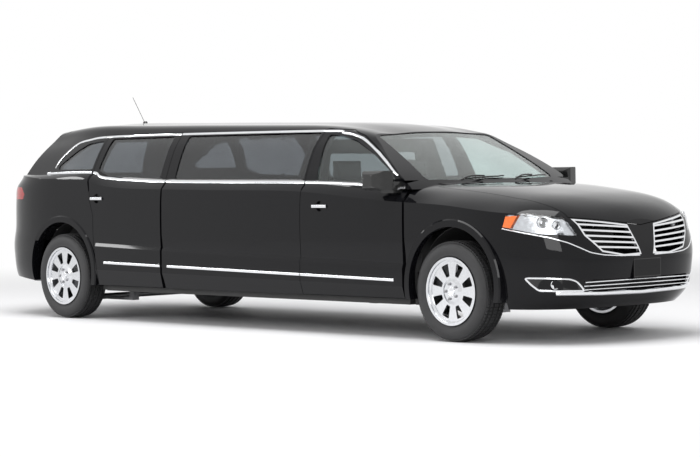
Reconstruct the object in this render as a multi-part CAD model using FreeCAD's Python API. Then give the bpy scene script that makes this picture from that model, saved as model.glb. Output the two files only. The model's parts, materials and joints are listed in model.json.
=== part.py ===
"""A stretch limousine with its nose to +X and its left side to +Y, standing on its wheels at z = 0."""

import FreeCAD
import Part
import math
import os
from FreeCAD import Vector

# Driving dimensions of the whole car, in millimetres
WHEELBASE = 4773.0
FRONT_OVERHANG = 1070.0
REAR_OVERHANG = 1207.0
HALF_WIDTH = 955.0
BODY_HEIGHT = 1700.0
OVERRUN = 60.0

OVERALL_LENGTH = FRONT_OVERHANG + WHEELBASE + REAR_OVERHANG
FRONT_AXLE_X = OVERALL_LENGTH / 2 - FRONT_OVERHANG
REAR_AXLE_X = FRONT_AXLE_X - WHEELBASE

# Walls and gaps
DOOR_DEPTH = 120.0
PILLAR_DEPTH = 45.0
SKIN_DEPTH = 40.0
GLASS_SET_BACK = 6.0
GLASS_THICKNESS = 5.0
SHUT_GAP = 5.0
SHUT_DRAFT_SHARE = 0.25
SEAT_GAP = 0.3

# Wheels and tyres
TYRE_RADIUS = 370.0
TYRE_WIDTH = 235.0
RIM_RADIUS = 250.0
BEAD_RADIUS = 241.0
HALF_TRACK = 830.0
HUB_RADIUS = 34.0
STEER_AXIS_INSET = 95.0
AXLE_Z = TYRE_RADIUS

# Wheel arches
ARCH_RADIUS = 434.0
LIP_WIDTH = 57.0
LIP_STAND_OFF = 10.0
LIP_DEPTH = 70.0
FRONT_ARCH_AHEAD = 25.0
REAR_ARCH_AHEAD = 10.0
ARCH_LIFT = 38.0
WELL_INNER_Y = 440.0
REAR_WELL_INNER_Y = 660.0
ARCH_Z = AXLE_Z + ARCH_LIFT
FRONT_ARCH_X = FRONT_AXLE_X + FRONT_ARCH_AHEAD
REAR_ARCH_X = REAR_AXLE_X + REAR_ARCH_AHEAD
LIP_RADIUS = ARCH_RADIUS + LIP_WIDTH

# Door hinges
HINGE_SET_BACK = 35.0
HINGE_SET_IN = 50.0
HINGE_PIN_RADIUS = 6.0
HINGE_KNUCKLE_RADIUS = 12.0
HINGE_HEIGHT = 24.0
HINGE_PIN_LENGTH = 64.0
HINGE_NOTCH_GAP = 6.0
HINGE_ARM_REACH = 84.0
HINGE_ARM_WIDTH = 60.0
HINGE_ARM_THICKNESS = 18.0
HINGE_Y = HALF_WIDTH - HINGE_SET_IN


def station(share):
    """X at a share of the car: 1 the nose, 0 the front axle, -1 the rear axle, -2 the tail."""
    if share >= 0:
        return FRONT_AXLE_X + share * FRONT_OVERHANG
    if share >= -1:
        return FRONT_AXLE_X + share * WHEELBASE
    return REAR_AXLE_X + (share + 1) * REAR_OVERHANG


def level(share):
    """Z at a share of the body's height."""
    return share * BODY_HEIGHT


def breadth(share):
    """Y at a share of the half width."""
    return share * HALF_WIDTH


def block(x0, x1, y0, y1, z0, z1):
    """A box between two corners, given in any order."""
    low = Vector(min(x0, x1), min(y0, y1), min(z0, z1))
    return Part.makeBox(abs(x1 - x0), abs(y1 - y0), abs(z1 - z0), low)


def across(shape):
    """The same shape on the other side of the car."""
    return shape.mirror(Vector(0, 0, 0), Vector(0, 1, 0))


def both(shape):
    """A right piece and its mirror image as one group of solids."""
    return Part.makeCompound([shape, across(shape)])


def fused(shapes):
    """Several solids joined into one."""
    return shapes[0].multiFuse(shapes[1:]).removeSplitter()


def loop(points, radius=0.0):
    """A closed wire through points in one plane, with each corner rounded."""
    starts = []
    ends = []
    arcs = []
    for k, corner in enumerate(points):
        back = points[k - 1] - corner
        ahead = points[(k + 1) % len(points)] - corner
        half = back.getAngle(ahead) / 2
        reach = min(radius / math.tan(half), back.Length * 0.45, ahead.Length * 0.45)
        start = corner + back.normalize() * reach
        end = corner + ahead.normalize() * reach
        starts.append(start)
        ends.append(end)
        if reach > 0 and half < math.pi / 2 * 0.999:
            size = reach * math.tan(half)
            middle = corner + (back + ahead).normalize() * (size / math.sin(half) - size)
            arcs.append(Part.Arc(start, middle, end).toShape())
        else:
            arcs.append(None)
    edges = []
    for k in range(len(points)):
        if arcs[k]:
            edges.append(arcs[k])
        following = (k + 1) % len(points)
        edges.append(Part.makeLine(ends[k], starts[following]))
    return Part.Wire(Part.__sortEdges__(edges))


def side_prism(points, y0, y1, radius=0.0):
    """A side outline of (x, z) points carried across the car from y0 to y1."""
    face = Part.Face(loop([Vector(x, y0, z) for x, z in points], radius))
    return face.extrude(Vector(0, y1 - y0, 0))


def plan_prism(points, z0, z1, radius=0.0):
    """A plan outline of (x, y) points carried up from z0 to z1."""
    face = Part.Face(loop([Vector(x, y, z0) for x, y in points], radius))
    return face.extrude(Vector(0, 0, z1 - z0))


def front_prism(points, x0, x1, radius=0.0):
    """A front outline of (y, z) points carried along the car from x0 to x1."""
    face = Part.Face(loop([Vector(x0, y, z) for y, z in points], radius))
    return face.extrude(Vector(x1 - x0, 0, 0))


def disc(centre, radius, length, direction):
    """A cylinder whose first end is at centre."""
    return Part.makeCylinder(radius, length, centre, direction)


def turned(profile, centre, direction):
    """A ring or boss turned from (distance along the axis, radius) points."""
    points = [Vector(radius, 0, along) for along, radius in profile]
    face = Part.Face(Part.makePolygon(points + points[:1]))
    solid = face.revolve(Vector(0, 0, 0), Vector(0, 0, 1), 360)
    solid.rotate(Vector(0, 0, 0), Vector(0, 0, 1).cross(direction),
                 math.degrees(Vector(0, 0, 1).getAngle(direction)))
    solid.translate(centre)
    return solid


# The lower body's wrap: rings in plan from the sills up, as shares (height, half width, nose, tail)
FRONT_ROUND_START_SHARE = 0.0
REAR_ROUND_START_SHARE = -1.05
FRONT_ROUND_POWER_SHARE = 3.2
REAR_ROUND_POWER_SHARE = 3.2
ROUND_STEPS = 8
SIDE_STEPS = 4
RING_SHARES = [
    (0.147, 0.930, 0.850, -1.86),
    (0.176, 0.958, 0.905, -1.93),
    (0.203, 0.974, 0.942, -1.965),
    (0.247, 0.986, 0.975, -1.985),
    (0.306, 0.993, 0.990, -1.996),
    (0.365, 0.996, 1.000, -2.000),
    (0.400, 0.998, 0.993, -1.990),
    (0.447, 1.000, 0.969, -1.965),
    (0.506, 1.000, 0.935, -1.955),
    (0.565, 0.998, 0.888, -1.955),
    (0.624, 0.992, 0.822, -1.955),
    (0.682, 0.979, 0.740, -1.940),
    (0.762, 0.945, 0.620, -1.895),
]


def ring_points(half_width, nose_x, tail_x):
    """One closed ring in plan: down the right side from the tail to the nose, and back along the left."""
    front_x = station(FRONT_ROUND_START_SHARE)
    rear_x = station(REAR_ROUND_START_SHARE)
    right = []
    for k in range(ROUND_STEPS, 0, -1):
        turn = math.pi / 2 * k / ROUND_STEPS
        out = abs(math.cos(turn)) ** (2 / REAR_ROUND_POWER_SHARE)
        along = math.sin(turn) ** (2 / REAR_ROUND_POWER_SHARE)
        right.append((rear_x + (tail_x - rear_x) * along, -half_width * out))
    for k in range(SIDE_STEPS + 1):
        right.append((rear_x + (front_x - rear_x) * k / SIDE_STEPS, -half_width))
    for k in range(1, ROUND_STEPS + 1):
        turn = math.pi / 2 * k / ROUND_STEPS
        out = abs(math.cos(turn)) ** (2 / FRONT_ROUND_POWER_SHARE)
        along = math.sin(turn) ** (2 / FRONT_ROUND_POWER_SHARE)
        right.append((front_x + (nose_x - front_x) * along, -half_width * out))
    right[0] = (tail_x, 0.0)
    right[-1] = (nose_x, 0.0)
    return right + [(x, -y) for x, y in reversed(right[1:-1])]


def wrap(inset):
    """The side, nose and tail of the lower body as a closed solid, taken in by inset."""
    wires = []
    for height, width, nose, tail in RING_SHARES:
        points = ring_points(width * HALF_WIDTH - inset, station(nose) - inset, station(tail) + inset)
        curve = Part.BSplineCurve()
        curve.interpolate(Points=[Vector(x, y, level(height)) for x, y in points], PeriodicFlag=True)
        wires.append(Part.Wire(curve.toShape()))
    return Part.makeLoft(wires, True, False)


# The lower body's top, as shares: the car's stations and, at each half width, the height
TOP_WIDTH_SHARES = [0.0, 0.26, 0.47, 0.68, 0.817, 0.921, 0.99, 1.068, 1.173]
TOP_SHARES = [
    (1.168, [0.253, 0.241, 0.218, 0.182, 0.159, 0.141, 0.129, 0.118, 0.106]),
    (1.028, [0.430, 0.418, 0.388, 0.341, 0.306, 0.276, 0.259, 0.241, 0.218]),
    (0.935, [0.510, 0.500, 0.476, 0.429, 0.388, 0.359, 0.341, 0.324, 0.300]),
    (0.841, [0.571, 0.563, 0.545, 0.506, 0.465, 0.435, 0.418, 0.400, 0.376]),
    (0.748, [0.598, 0.594, 0.582, 0.555, 0.518, 0.488, 0.471, 0.453, 0.429]),
    (0.607, [0.623, 0.621, 0.615, 0.597, 0.571, 0.541, 0.521, 0.500, 0.471]),
    (0.421, [0.642, 0.640, 0.636, 0.622, 0.600, 0.573, 0.551, 0.526, 0.494]),
    (0.234, [0.656, 0.655, 0.651, 0.638, 0.619, 0.595, 0.571, 0.544, 0.509]),
    (0.0, [0.668, 0.668, 0.665, 0.654, 0.636, 0.612, 0.588, 0.559, 0.518]),
    (-0.052, [0.677, 0.676, 0.673, 0.664, 0.648, 0.624, 0.597, 0.563, 0.518]),
    (-0.105, [0.688, 0.688, 0.686, 0.679, 0.668, 0.649, 0.605, 0.556, 0.494]),
    (-0.21, [0.720, 0.720, 0.717, 0.711, 0.702, 0.675, 0.623, 0.550, 0.447]),
    (-0.335, [0.741, 0.741, 0.738, 0.732, 0.722, 0.691, 0.645, 0.562, 0.453]),
    (-0.524, [0.747, 0.747, 0.744, 0.738, 0.727, 0.696, 0.652, 0.568, 0.453]),
    (-0.712, [0.753, 0.753, 0.750, 0.744, 0.733, 0.702, 0.657, 0.574, 0.459]),
    (-0.86, [0.762, 0.762, 0.759, 0.753, 0.741, 0.713, 0.667, 0.582, 0.471]),
    (-0.90, [0.768, 0.768, 0.765, 0.759, 0.750, 0.727, 0.679, 0.594, 0.482]),
    (-0.935, [0.774, 0.774, 0.771, 0.766, 0.759, 0.742, 0.701, 0.612, 0.500]),
    (-1.10, [0.774, 0.774, 0.771, 0.765, 0.757, 0.740, 0.705, 0.629, 0.518]),
    (-1.40, [0.768, 0.768, 0.765, 0.757, 0.748, 0.732, 0.708, 0.641, 0.535]),
    (-1.70, [0.753, 0.753, 0.750, 0.744, 0.735, 0.721, 0.700, 0.641, 0.541]),
    (-1.95, [0.718, 0.718, 0.715, 0.709, 0.700, 0.688, 0.671, 0.624, 0.535]),
    (-2.20, [0.665, 0.665, 0.662, 0.653, 0.641, 0.629, 0.612, 0.576, 0.500]),
]


def above_top(drop):
    """Everything over the lower body's top, with that top lowered by drop."""
    rows = []
    for place, heights in TOP_SHARES:
        right = [Vector(station(place), -breadth(w), level(h) - drop) for w, h in zip(TOP_WIDTH_SHARES, heights)]
        left = [Vector(p.x, -p.y, p.z) for p in right[1:]]
        rows.append(list(reversed(right)) + left)
    surface = Part.BSplineSurface()
    surface.interpolate(rows)
    return surface.toShape().extrude(Vector(0, 0, BODY_HEIGHT))


# The cabin's tube: sections along the car as shares (station, belt half width, roof height)
BELT_SHARE = 0.694
HOUSE_FOOT_SHARE = 0.655
HOUSE_SHARES = [
    (-0.03, 0.925, 0.915),
    (-0.14, 0.930, 0.915),
    (-0.2346, 0.930, 0.918),
    (-0.285, 0.930, 0.943),
    (-0.345, 0.930, 0.961),
    (-0.42, 0.930, 0.970),
    (-0.54, 0.930, 0.978),
    (-0.70, 0.930, 0.988),
    (-0.88, 0.925, 0.998),
    (-1.00, 0.898, 1.000),
    (-1.25, 0.857, 0.988),
    (-1.50, 0.815, 0.970),
    (-1.75, 0.775, 0.942),
    (-2.05, 0.725, 0.905),
]
# One section: (width less the belt's, height above the belt) up the side, then (share of the rail, height)
SIDE_SECTION_SHARES = [(0.052, -0.25), (0.0, 0.0), (-0.034, 0.21), (-0.083, 0.44), (-0.146, 0.66), (-0.200, 0.795)]
ROOF_SECTION_SHARES = [(0.945, 0.890), (0.70, 0.957), (0.35, 0.989), (0.0, 1.0)]
# The windscreen and the tailgate's glass, as shares (station, half width, height) of side and middle points
SCREEN_SHARES = [
    ((-0.055, 0.79, 0.590), (-0.030, 0.0, 0.590)),
    ((-0.0949, 0.76, 0.686), (-0.0785, 0.0, 0.680)),
    ((-0.164, 0.71, 0.805), (-0.150, 0.0, 0.806)),
    ((-0.2346, 0.66, 0.908), (-0.2310, 0.0, 0.918)),
    ((-0.36, 0.60, 1.06), (-0.36, 0.0, 1.08)),
]
REAR_GLASS_SHARES = [
    ((-1.72, 0.78, 0.600), (-1.83, 0.0, 0.600)),
    ((-1.70, 0.76, 0.720), (-1.82, 0.0, 0.720)),
    ((-1.58, 0.70, 0.835), (-1.70, 0.0, 0.840)),
    ((-1.41, 0.63, 0.945), (-1.55, 0.0, 0.955)),
    ((-1.24, 0.58, 1.05), (-1.38, 0.0, 1.06)),
]


def house_tube(inset):
    """The cabin's sides and roof as a solid tube, before the windscreen and the tail cut it."""
    belt_z = level(BELT_SHARE)
    rows = []
    for place, belt, roof in HOUSE_SHARES:
        rise = level(roof) - inset - belt_z
        rail = breadth(belt + SIDE_SECTION_SHARES[-1][0]) - inset
        right = [Vector(station(place), -(breadth(belt + w) - inset), belt_z + h * rise)
                 for w, h in SIDE_SECTION_SHARES]
        right += [Vector(station(place), -w * rail, belt_z + h * rise) for w, h in ROOF_SECTION_SHARES]
        left = [Vector(p.x, -p.y, p.z) for p in reversed(right[:-1])]
        rows.append(right + left)
    surface = Part.BSplineSurface()
    surface.interpolate(rows)
    skin = surface.toShape()
    ends = []
    for row in (rows[0], rows[-1]):
        rim = [e for e in skin.Edges if max(abs(v.Point.x - row[0].x) for v in e.Vertexes) < SEAT_GAP][0]
        ends.append(Part.Face(Part.Wire([rim, Part.makeLine(row[0], row[-1])])))
    feet = [e for e in skin.Edges if abs(e.Vertexes[0].Point.x - e.Vertexes[-1].Point.x) > SEAT_GAP]
    shell = Part.makeShell([skin, Part.makeRuledSurface(feet[0], feet[1])] + ends)
    shell.sewShape()
    solid = Part.makeSolid(shell)
    if solid.Volume < 0:
        solid.reverse()
    return solid


def behind(shares, inset, sense):
    """The space on the cabin's side of a curved pane: sense is -1 for the windscreen and 1 for the tail."""
    wires = []
    for side, middle in shares:
        ends = []
        for share, width, height in (side, middle):
            ends.append(Vector(station(share) + sense * inset, -breadth(width), level(height) - inset / 2))
        wide = ends[0] + (ends[0] - ends[1]) * 0.5
        wide.x = ends[1].x + (ends[0].x - ends[1].x) * 2.25
        other = Vector(wide.x, -wide.y, wide.z)
        curve = Part.BSplineCurve()
        curve.interpolate([wide, ends[0], ends[1], Vector(ends[0].x, -ends[0].y, ends[0].z), other])
        wires.append(Part.Wire(curve.toShape()))
    face = Part.makeLoft(wires, False, False)
    return face.extrude(Vector(sense * OVERALL_LENGTH, 0, 0))


def greenhouse(inset):
    """The cabin above the belt as a solid, taken in by inset."""
    solid = house_tube(inset)
    solid = solid.common(behind(SCREEN_SHARES, inset, -1))
    solid = solid.common(behind(REAR_GLASS_SHARES, inset, 1))
    foot = block(-OVERALL_LENGTH, OVERALL_LENGTH, -2 * HALF_WIDTH, 2 * HALF_WIDTH, level(HOUSE_FOOT_SHARE), 0)
    return solid.cut(foot)



# Shut lines and openings, as shares (station, height), seen from the side
BELT_LINE_SHARE = 0.662
DOOR_FOOT_SHARE = 0.178
RAIL_SHARE = 0.9365
FRONT_DOOR_X_SHARE = -0.1004
FRONT_DOOR_REAR_SHARE = -0.3394
REAR_DOOR_X_SHARE = -0.7061
FRONT_DOOR_LOW_SHARES = [(-0.1004, 0.178), (-0.1004, 0.760), (-0.3394, 0.760), (-0.3394, 0.178)]
FRONT_DOOR_HIGH_SHARES = [(-0.1004, 0.655), (-0.1020, 0.676), (-0.1385, 0.7480), (-0.1830, 0.8160),
                          (-0.2440, 0.8975), (-0.2860, 0.9265), (-0.3394, 0.9365), (-0.3394, 0.655)]
REAR_DOOR_LOW_SHARES = [(-0.7061, 0.178), (-0.7061, 0.780), (-0.9275, 0.780), (-0.9255, 0.751), (-0.9160, 0.655),
                        (-0.9115, 0.600), (-0.9020, 0.530), (-0.9020, 0.178)]
REAR_DOOR_HIGH_SHARES = [(-0.7061, 0.655), (-0.7061, 0.9365), (-0.9160, 0.9365), (-0.9255, 0.751), (-0.9160, 0.655)]
REAR_PANEL_END_SHARE = -1.93
FRONT_WINDOW_SHARES = [(-0.1200, 0.6810), (-0.1430, 0.7330), (-0.1985, 0.8110), (-0.2560, 0.8770), (-0.2930, 0.9000),
                       (-0.3240, 0.9080), (-0.3110, 0.6960)]
MIDDLE_WINDOW_SHARES = [(-0.3440, 0.7020), (-0.3440, 0.9170), (-0.6835, 0.9190), (-0.6815, 0.7080)]
REAR_WINDOW_SHARES = [(-0.7230, 0.7110), (-0.7230, 0.9190), (-0.9005, 0.9170), (-0.9118, 0.7590), (-0.8790, 0.7280)]
QUARTER_WINDOW_SHARES = [(-0.9320, 0.7640), (-0.9235, 0.9090), (-0.9700, 0.8960), (-1.0010, 0.8600), (-1.26, 0.7640)]
WINDOW_CORNER = 22.0
SCREEN_OPENING_SHARES = [(-0.0840, 0.0), (-0.0890, 0.45), (-0.0985, 0.735), (-0.2265, 0.640), (-0.2265, -0.640),
                         (-0.0985, -0.735), (-0.0890, -0.45)]
HATCH_SHARES = [(0.585, 1.20), (0.600, 0.93), (0.640, 0.80), (0.675, 0.70), (0.685, 0.436)]
HATCH_TOP_X_SHARE = -1.30
HATCH_GAP = 14.0
REAR_SCREEN_SHARES = [(0.53, 0.915), (0.655, 0.745)]

# The cladding along the sill
CLAD_Y = HALF_WIDTH + 6.0
CLAD_LEDGE = 16.0
CLAD_FRONT_SHARES = (-0.1004, 0.311)
CLAD_REAR_SHARES = (-0.895, 0.376)
CLAD_LEDGE_HEIGHT = 48.0
CLAD_UNDERCUT = 26.0


def side_points(shares, grow=0.0):
    """Side outline points in millimetres, pushed outwards all round by grow."""
    points = [Vector(station(s), 0, level(h)) for s, h in shares]
    if grow == 0:
        return [(p.x, p.z) for p in points]
    face = Part.Face(Part.makePolygon(points + points[:1]))
    wire = face.makeOffset2D(grow, 2).OuterWire
    return [(v.Point.x, v.Point.z) for v in wire.OrderedVertexes]


def drafted(points, outer_y, inner_y, lean, rear_limit):
    """A side outline carried inwards, its rear edge drawn forward on the way; lean tips it in with height."""
    wires = []
    foot = level(BELT_SHARE)
    draw = abs(outer_y - inner_y) * SHUT_DRAFT_SHARE
    start = -OVERRUN * SHUT_DRAFT_SHARE
    for y, shift in ((outer_y, start), (inner_y, start + draw)):
        ring = []
        for x, z in points:
            forward = shift if x < rear_limit else 0.0
            ring.append(Vector(x + forward, y + lean * (z - foot), z))
        wires.append(Part.makePolygon(ring + ring[:1]))
    return Part.makeLoft(wires, True, True)


SIDE_LEAN_SHARE = 0.482
BELT_HALF_WIDTH = breadth(HOUSE_SHARES[2][1])


def door_cutter(low_shares, high_shares, grow):
    """The space that a right door takes out of the side, with its shut faces drafted."""
    rear_limit = station(low_shares[0][0]) - WHEELBASE * 0.15
    outer = HALF_WIDTH + OVERRUN
    low = drafted(side_points(low_shares, grow), -outer, -outer + 4 * OVERRUN, 0.0, rear_limit)
    high = drafted(side_points(high_shares, grow), -BELT_HALF_WIDTH - OVERRUN, -BELT_HALF_WIDTH + 2 * OVERRUN,
                   SIDE_LEAN_SHARE, rear_limit)
    return low, high


def arch_cone(centre_x, radius):
    """A right wheel arch's outline, wider inboard by the shut draft."""
    outer = HALF_WIDTH + OVERRUN
    length = DOOR_DEPTH + 2 * OVERRUN
    return Part.makeCone(radius, radius + length * SHUT_DRAFT_SHARE, length,
                         Vector(centre_x, -outer, ARCH_Z), Vector(0, 1, 0))


def half_width_at(z):
    """The lower body's half width at a height, from the rings."""
    for (low, narrow, n0, t0), (high, wide, n1, t1) in zip(RING_SHARES, RING_SHARES[1:]):
        if z <= level(high):
            return breadth(narrow + (wide - narrow) * (z - level(low)) / (level(high) - level(low)))
    return breadth(RING_SHARES[-1][1])


def hinge_pocket(hinge_x):
    """The hollow in the body that a right door's leading edge turns in."""
    profile = [Vector(0, 0, level(DOOR_FOOT_SHARE) - SHUT_GAP)]
    steps = 8
    for k in range(steps + 1):
        z = level(DOOR_FOOT_SHARE) + (level(BELT_SHARE) - level(DOOR_FOOT_SHARE)) * k / steps
        skin_y = CLAD_Y if z < level(CLAD_REAR_SHARES[1]) + CLAD_LEDGE_HEIGHT else half_width_at(z)
        stand_out = max(0.0, skin_y + LIP_STAND_OFF - HINGE_Y)
        radius = math.hypot(HINGE_SET_BACK, stand_out) + SHUT_GAP
        if k == 0:
            profile.append(Vector(radius, 0, profile[0].z))
        profile.append(Vector(radius, 0, z))
    profile.append(Vector(0, 0, profile[-1].z))
    solid = Part.Face(Part.makePolygon(profile + profile[:1])).revolve(Vector(0, 0, 0), Vector(0, 0, 1), 360)
    solid.translate(Vector(hinge_x, -HINGE_Y, 0))
    return solid


HINGE_HEIGHT_SHARES = [0.29, 0.53]


def hinge_notches(hinge_x):
    """The two slots and the pin bores in a right door's leading inner corner."""
    cutters = []
    for share in HINGE_HEIGHT_SHARES:
        z0 = level(share) - HINGE_HEIGHT / 2 - HINGE_NOTCH_GAP
        z1 = level(share) + HINGE_HEIGHT / 2 + HINGE_NOTCH_GAP
        room = HINGE_KNUCKLE_RADIUS + HINGE_NOTCH_GAP
        corner = block(hinge_x - room, hinge_x + HINGE_SET_BACK + OVERRUN, -HINGE_Y - HINGE_NOTCH_GAP,
                       -HINGE_Y + DOOR_DEPTH, z0, z1)
        round_end = disc(Vector(hinge_x, -HINGE_Y, z0), room, z1 - z0, Vector(0, 0, 1))
        pin = Vector(hinge_x, -HINGE_Y, level(share) - HINGE_PIN_LENGTH / 2 - HINGE_NOTCH_GAP)
        bore = disc(pin, HINGE_PIN_RADIUS + SEAT_GAP, HINGE_PIN_LENGTH + 2 * HINGE_NOTCH_GAP, Vector(0, 0, 1))
        cutters.append(fused([corner, round_end, bore]))
    return cutters


def hinge_brackets(hinge_x):
    """The two cranked arms that carry a right door's pins, in from the pin and forward to the body."""
    arms = []
    for share in HINGE_HEIGHT_SHARES:
        z0 = level(share) - HINGE_HEIGHT / 2
        half = HINGE_ARM_THICKNESS / 2
        inner = -HINGE_Y + HINGE_ARM_WIDTH
        leg = block(hinge_x - half, hinge_x + half, -HINGE_Y, inner, z0, z0 + HINGE_HEIGHT)
        reach = block(hinge_x - half, hinge_x + HINGE_ARM_REACH, inner - HINGE_ARM_THICKNESS, inner,
                      z0, z0 + HINGE_HEIGHT)
        knuckle = disc(Vector(hinge_x, -HINGE_Y, z0), HINGE_KNUCKLE_RADIUS, HINGE_HEIGHT, Vector(0, 0, 1))
        pin = disc(Vector(hinge_x, -HINGE_Y, level(share) - HINGE_PIN_LENGTH / 2), HINGE_PIN_RADIUS,
                   HINGE_PIN_LENGTH, Vector(0, 0, 1))
        arms.append(fused([leg, reach, knuckle, pin]))
    return arms


def cladding():
    """The moulding along the right sill, its ledge rising towards the rear."""
    wires = []
    for share, top in (CLAD_FRONT_SHARES, CLAD_REAR_SHARES):
        x = station(share)
        z = level(top)
        ring = [(-HALF_WIDTH + SKIN_DEPTH, level(DOOR_FOOT_SHARE)),
                (-CLAD_Y + CLAD_UNDERCUT, level(DOOR_FOOT_SHARE)),
                (-CLAD_Y, level(DOOR_FOOT_SHARE) + (z - level(DOOR_FOOT_SHARE)) * 0.4),
                (-CLAD_Y, z),
                (-CLAD_Y + CLAD_LEDGE, z + CLAD_LEDGE_HEIGHT),
                (-HALF_WIDTH + SKIN_DEPTH, z + CLAD_LEDGE_HEIGHT)]
        wires.append(Part.makePolygon([Vector(x, y, w) for y, w in ring + ring[:1]]))
    return Part.makeLoft(wires, True, True)


def arch_lip(centre_x):
    """The raised lip round a right wheel arch, down to the sill."""
    centre = Vector(centre_x, -HALF_WIDTH - LIP_STAND_OFF, ARCH_Z)
    ring = disc(centre, LIP_RADIUS, LIP_DEPTH, Vector(0, 1, 0))
    edge = [e for e in ring.Edges if e.Length > LIP_RADIUS and abs(e.Vertexes[0].Point.y - centre.y) < SEAT_GAP]
    ring = ring.makeChamfer(LIP_STAND_OFF - SEAT_GAP, edge)
    ring = ring.cut(disc(centre, ARCH_RADIUS, LIP_DEPTH, Vector(0, 1, 0)))
    below = block(centre_x - 2 * LIP_RADIUS, centre_x + 2 * LIP_RADIUS, 0, -2 * HALF_WIDTH, -BODY_HEIGHT, level(DOOR_FOOT_SHARE))
    return ring.cut(below)


def wheel_well(centre_x, inner_y):
    """The round space for a right wheel."""
    return disc(Vector(centre_x, -HALF_WIDTH - OVERRUN, ARCH_Z), ARCH_RADIUS, HALF_WIDTH + OVERRUN - inner_y,
                Vector(0, 1, 0))


# The solids that every panel is cut from
FRONT_DOOR_X = station(FRONT_DOOR_X_SHARE)
REAR_DOOR_X = station(REAR_DOOR_X_SHARE)
FRONT_HINGE_X = FRONT_DOOR_X - HINGE_SET_BACK
REAR_HINGE_X = REAR_DOOR_X - HINGE_SET_BACK
TAIL_X = -OVERALL_LENGTH / 2
NOSE_X = OVERALL_LENGTH / 2
HALF_GAP = SHUT_GAP / 2
INNER_Y = HALF_WIDTH - DOOR_DEPTH
ROOM_HALF_WIDTH = 600.0
SIDE_INNER_Y = 400.0
FAR = 2 * HALF_WIDTH
HIGH = 2 * BODY_HEIGHT
CABIN_TAIL_SHARES = [(-1.55, 1.0), (-1.78, 0.80), (-1.88, 0.50), (-1.90, 0.25)]
SHOULDER_TAIL_SHARES = [(-1.00, 1.0), (-1.25, 0.93), (-1.50, 0.88), (-1.62, 0.80), (-1.72, 0.50), (-1.76, 0.25)]
SHOULDER_FOOT_SHARE = 0.625
LOWER = wrap(0.0).cut(above_top(0.0))
HOUSE = greenhouse(0.0)
HOUSE_WALL = HOUSE.cut(greenhouse(PILLAR_DEPTH))
GLASS = greenhouse(GLASS_SET_BACK).cut(greenhouse(GLASS_SET_BACK + GLASS_THICKNESS))


def biggest(shape):
    """The largest of a shape's solids."""
    return max(shape.Solids, key=lambda piece: piece.Volume)


def less(shape, cutters):
    """A shape with each cutter taken away in turn."""
    for cutter in cutters:
        shape = shape.cut(cutter)
    return shape


def cabin_space():
    """The hollow inside the lower body, from the front doors back to the tail."""
    foot = level(SHOULDER_FOOT_SHARE)
    spaces = []
    for shares, z0, z1 in ((CABIN_TAIL_SHARES, 0, foot), (SHOULDER_TAIL_SHARES, foot, HIGH)):
        right = [(station(s), -INNER_Y * w) for s, w in shares]
        points = [(FRONT_DOOR_X + OVERRUN, -INNER_Y)] + right + [(x, -y) for x, y in reversed(right)]
        points.append((FRONT_DOOR_X + OVERRUN, INNER_Y))
        spaces.append(plan_prism(points, z0, z1))
    return fused(spaces)


CABIN = cabin_space()
RIGHT_LOW = LOWER.common(block(TAIL_X - OVERRUN, FRONT_DOOR_X + OVERRUN, -FAR, 0, 0, HIGH)).cut(CABIN)
RIGHT_LOW = less(RIGHT_LOW.fuse(cladding()), [wheel_well(REAR_ARCH_X, REAR_WELL_INNER_Y)])
RIGHT_HIGH = HOUSE_WALL.common(block(TAIL_X - OVERRUN, FRONT_DOOR_X + OVERRUN, -FAR, -SIDE_INNER_Y, 0, level(RAIL_SHARE)))


def window(shares):
    """A right window opening carried straight through the side."""
    return side_prism(side_points(shares), -2 * HALF_WIDTH, -HALF_WIDTH * 0.4, WINDOW_CORNER)


def front_cutter(grow):
    """The right front door's space."""
    return door_cutter(FRONT_DOOR_LOW_SHARES, FRONT_DOOR_HIGH_SHARES, grow)


def rear_cutter(grow):
    """The right rear door's space, cut round by the wheel arch."""
    low, high = door_cutter(REAR_DOOR_LOW_SHARES, REAR_DOOR_HIGH_SHARES, grow)
    return low.cut(arch_cone(REAR_ARCH_X, LIP_RADIUS + SHUT_GAP / 2 - grow)), high


def hatch_prism(grow):
    """The tailgate's outline from behind, carried forward to the roof's end."""
    right = [Vector(0, -breadth(y), level(z)) for y, z in HATCH_SHARES]
    points = right + [Vector(0, -p.y, p.z) for p in reversed(right)]
    wire = Part.Face(Part.makePolygon(points + points[:1])).makeOffset2D(grow, 2).OuterWire
    outline = [(v.Point.y, v.Point.z) for v in wire.OrderedVertexes]
    return front_prism(outline, TAIL_X - OVERRUN, station(HATCH_TOP_X_SHARE) + grow * HATCH_GAP / SHUT_GAP)


def pane(shares):
    """A right side window's glass, edge to edge in its opening."""
    return GLASS.common(window(shares))


def side_panel(cutter):
    """What a pair of low and high cutters takes out of the right side, as one pressing."""
    low, high = cutter
    return RIGHT_LOW.common(low).fuse(RIGHT_HIGH.common(high))


# Door handles, as shares (station, height)
FRONT_HANDLE_SHARES = (-0.2919, 0.5812)
REAR_HANDLE_SHARES = (-0.8911, 0.6159)
HANDLE_LENGTH = 170.0
HANDLE_HEIGHT = 26.0
HANDLE_THICKNESS = 10.0
HANDLE_STAND_OFF = 11.0
HANDLE_SEAT_DEPTH = 8.0
HANDLE_ROUNDING = 9.0
RECESS_RADIUS = 40.0
RECESS_DEPTH = 18.0


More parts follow.
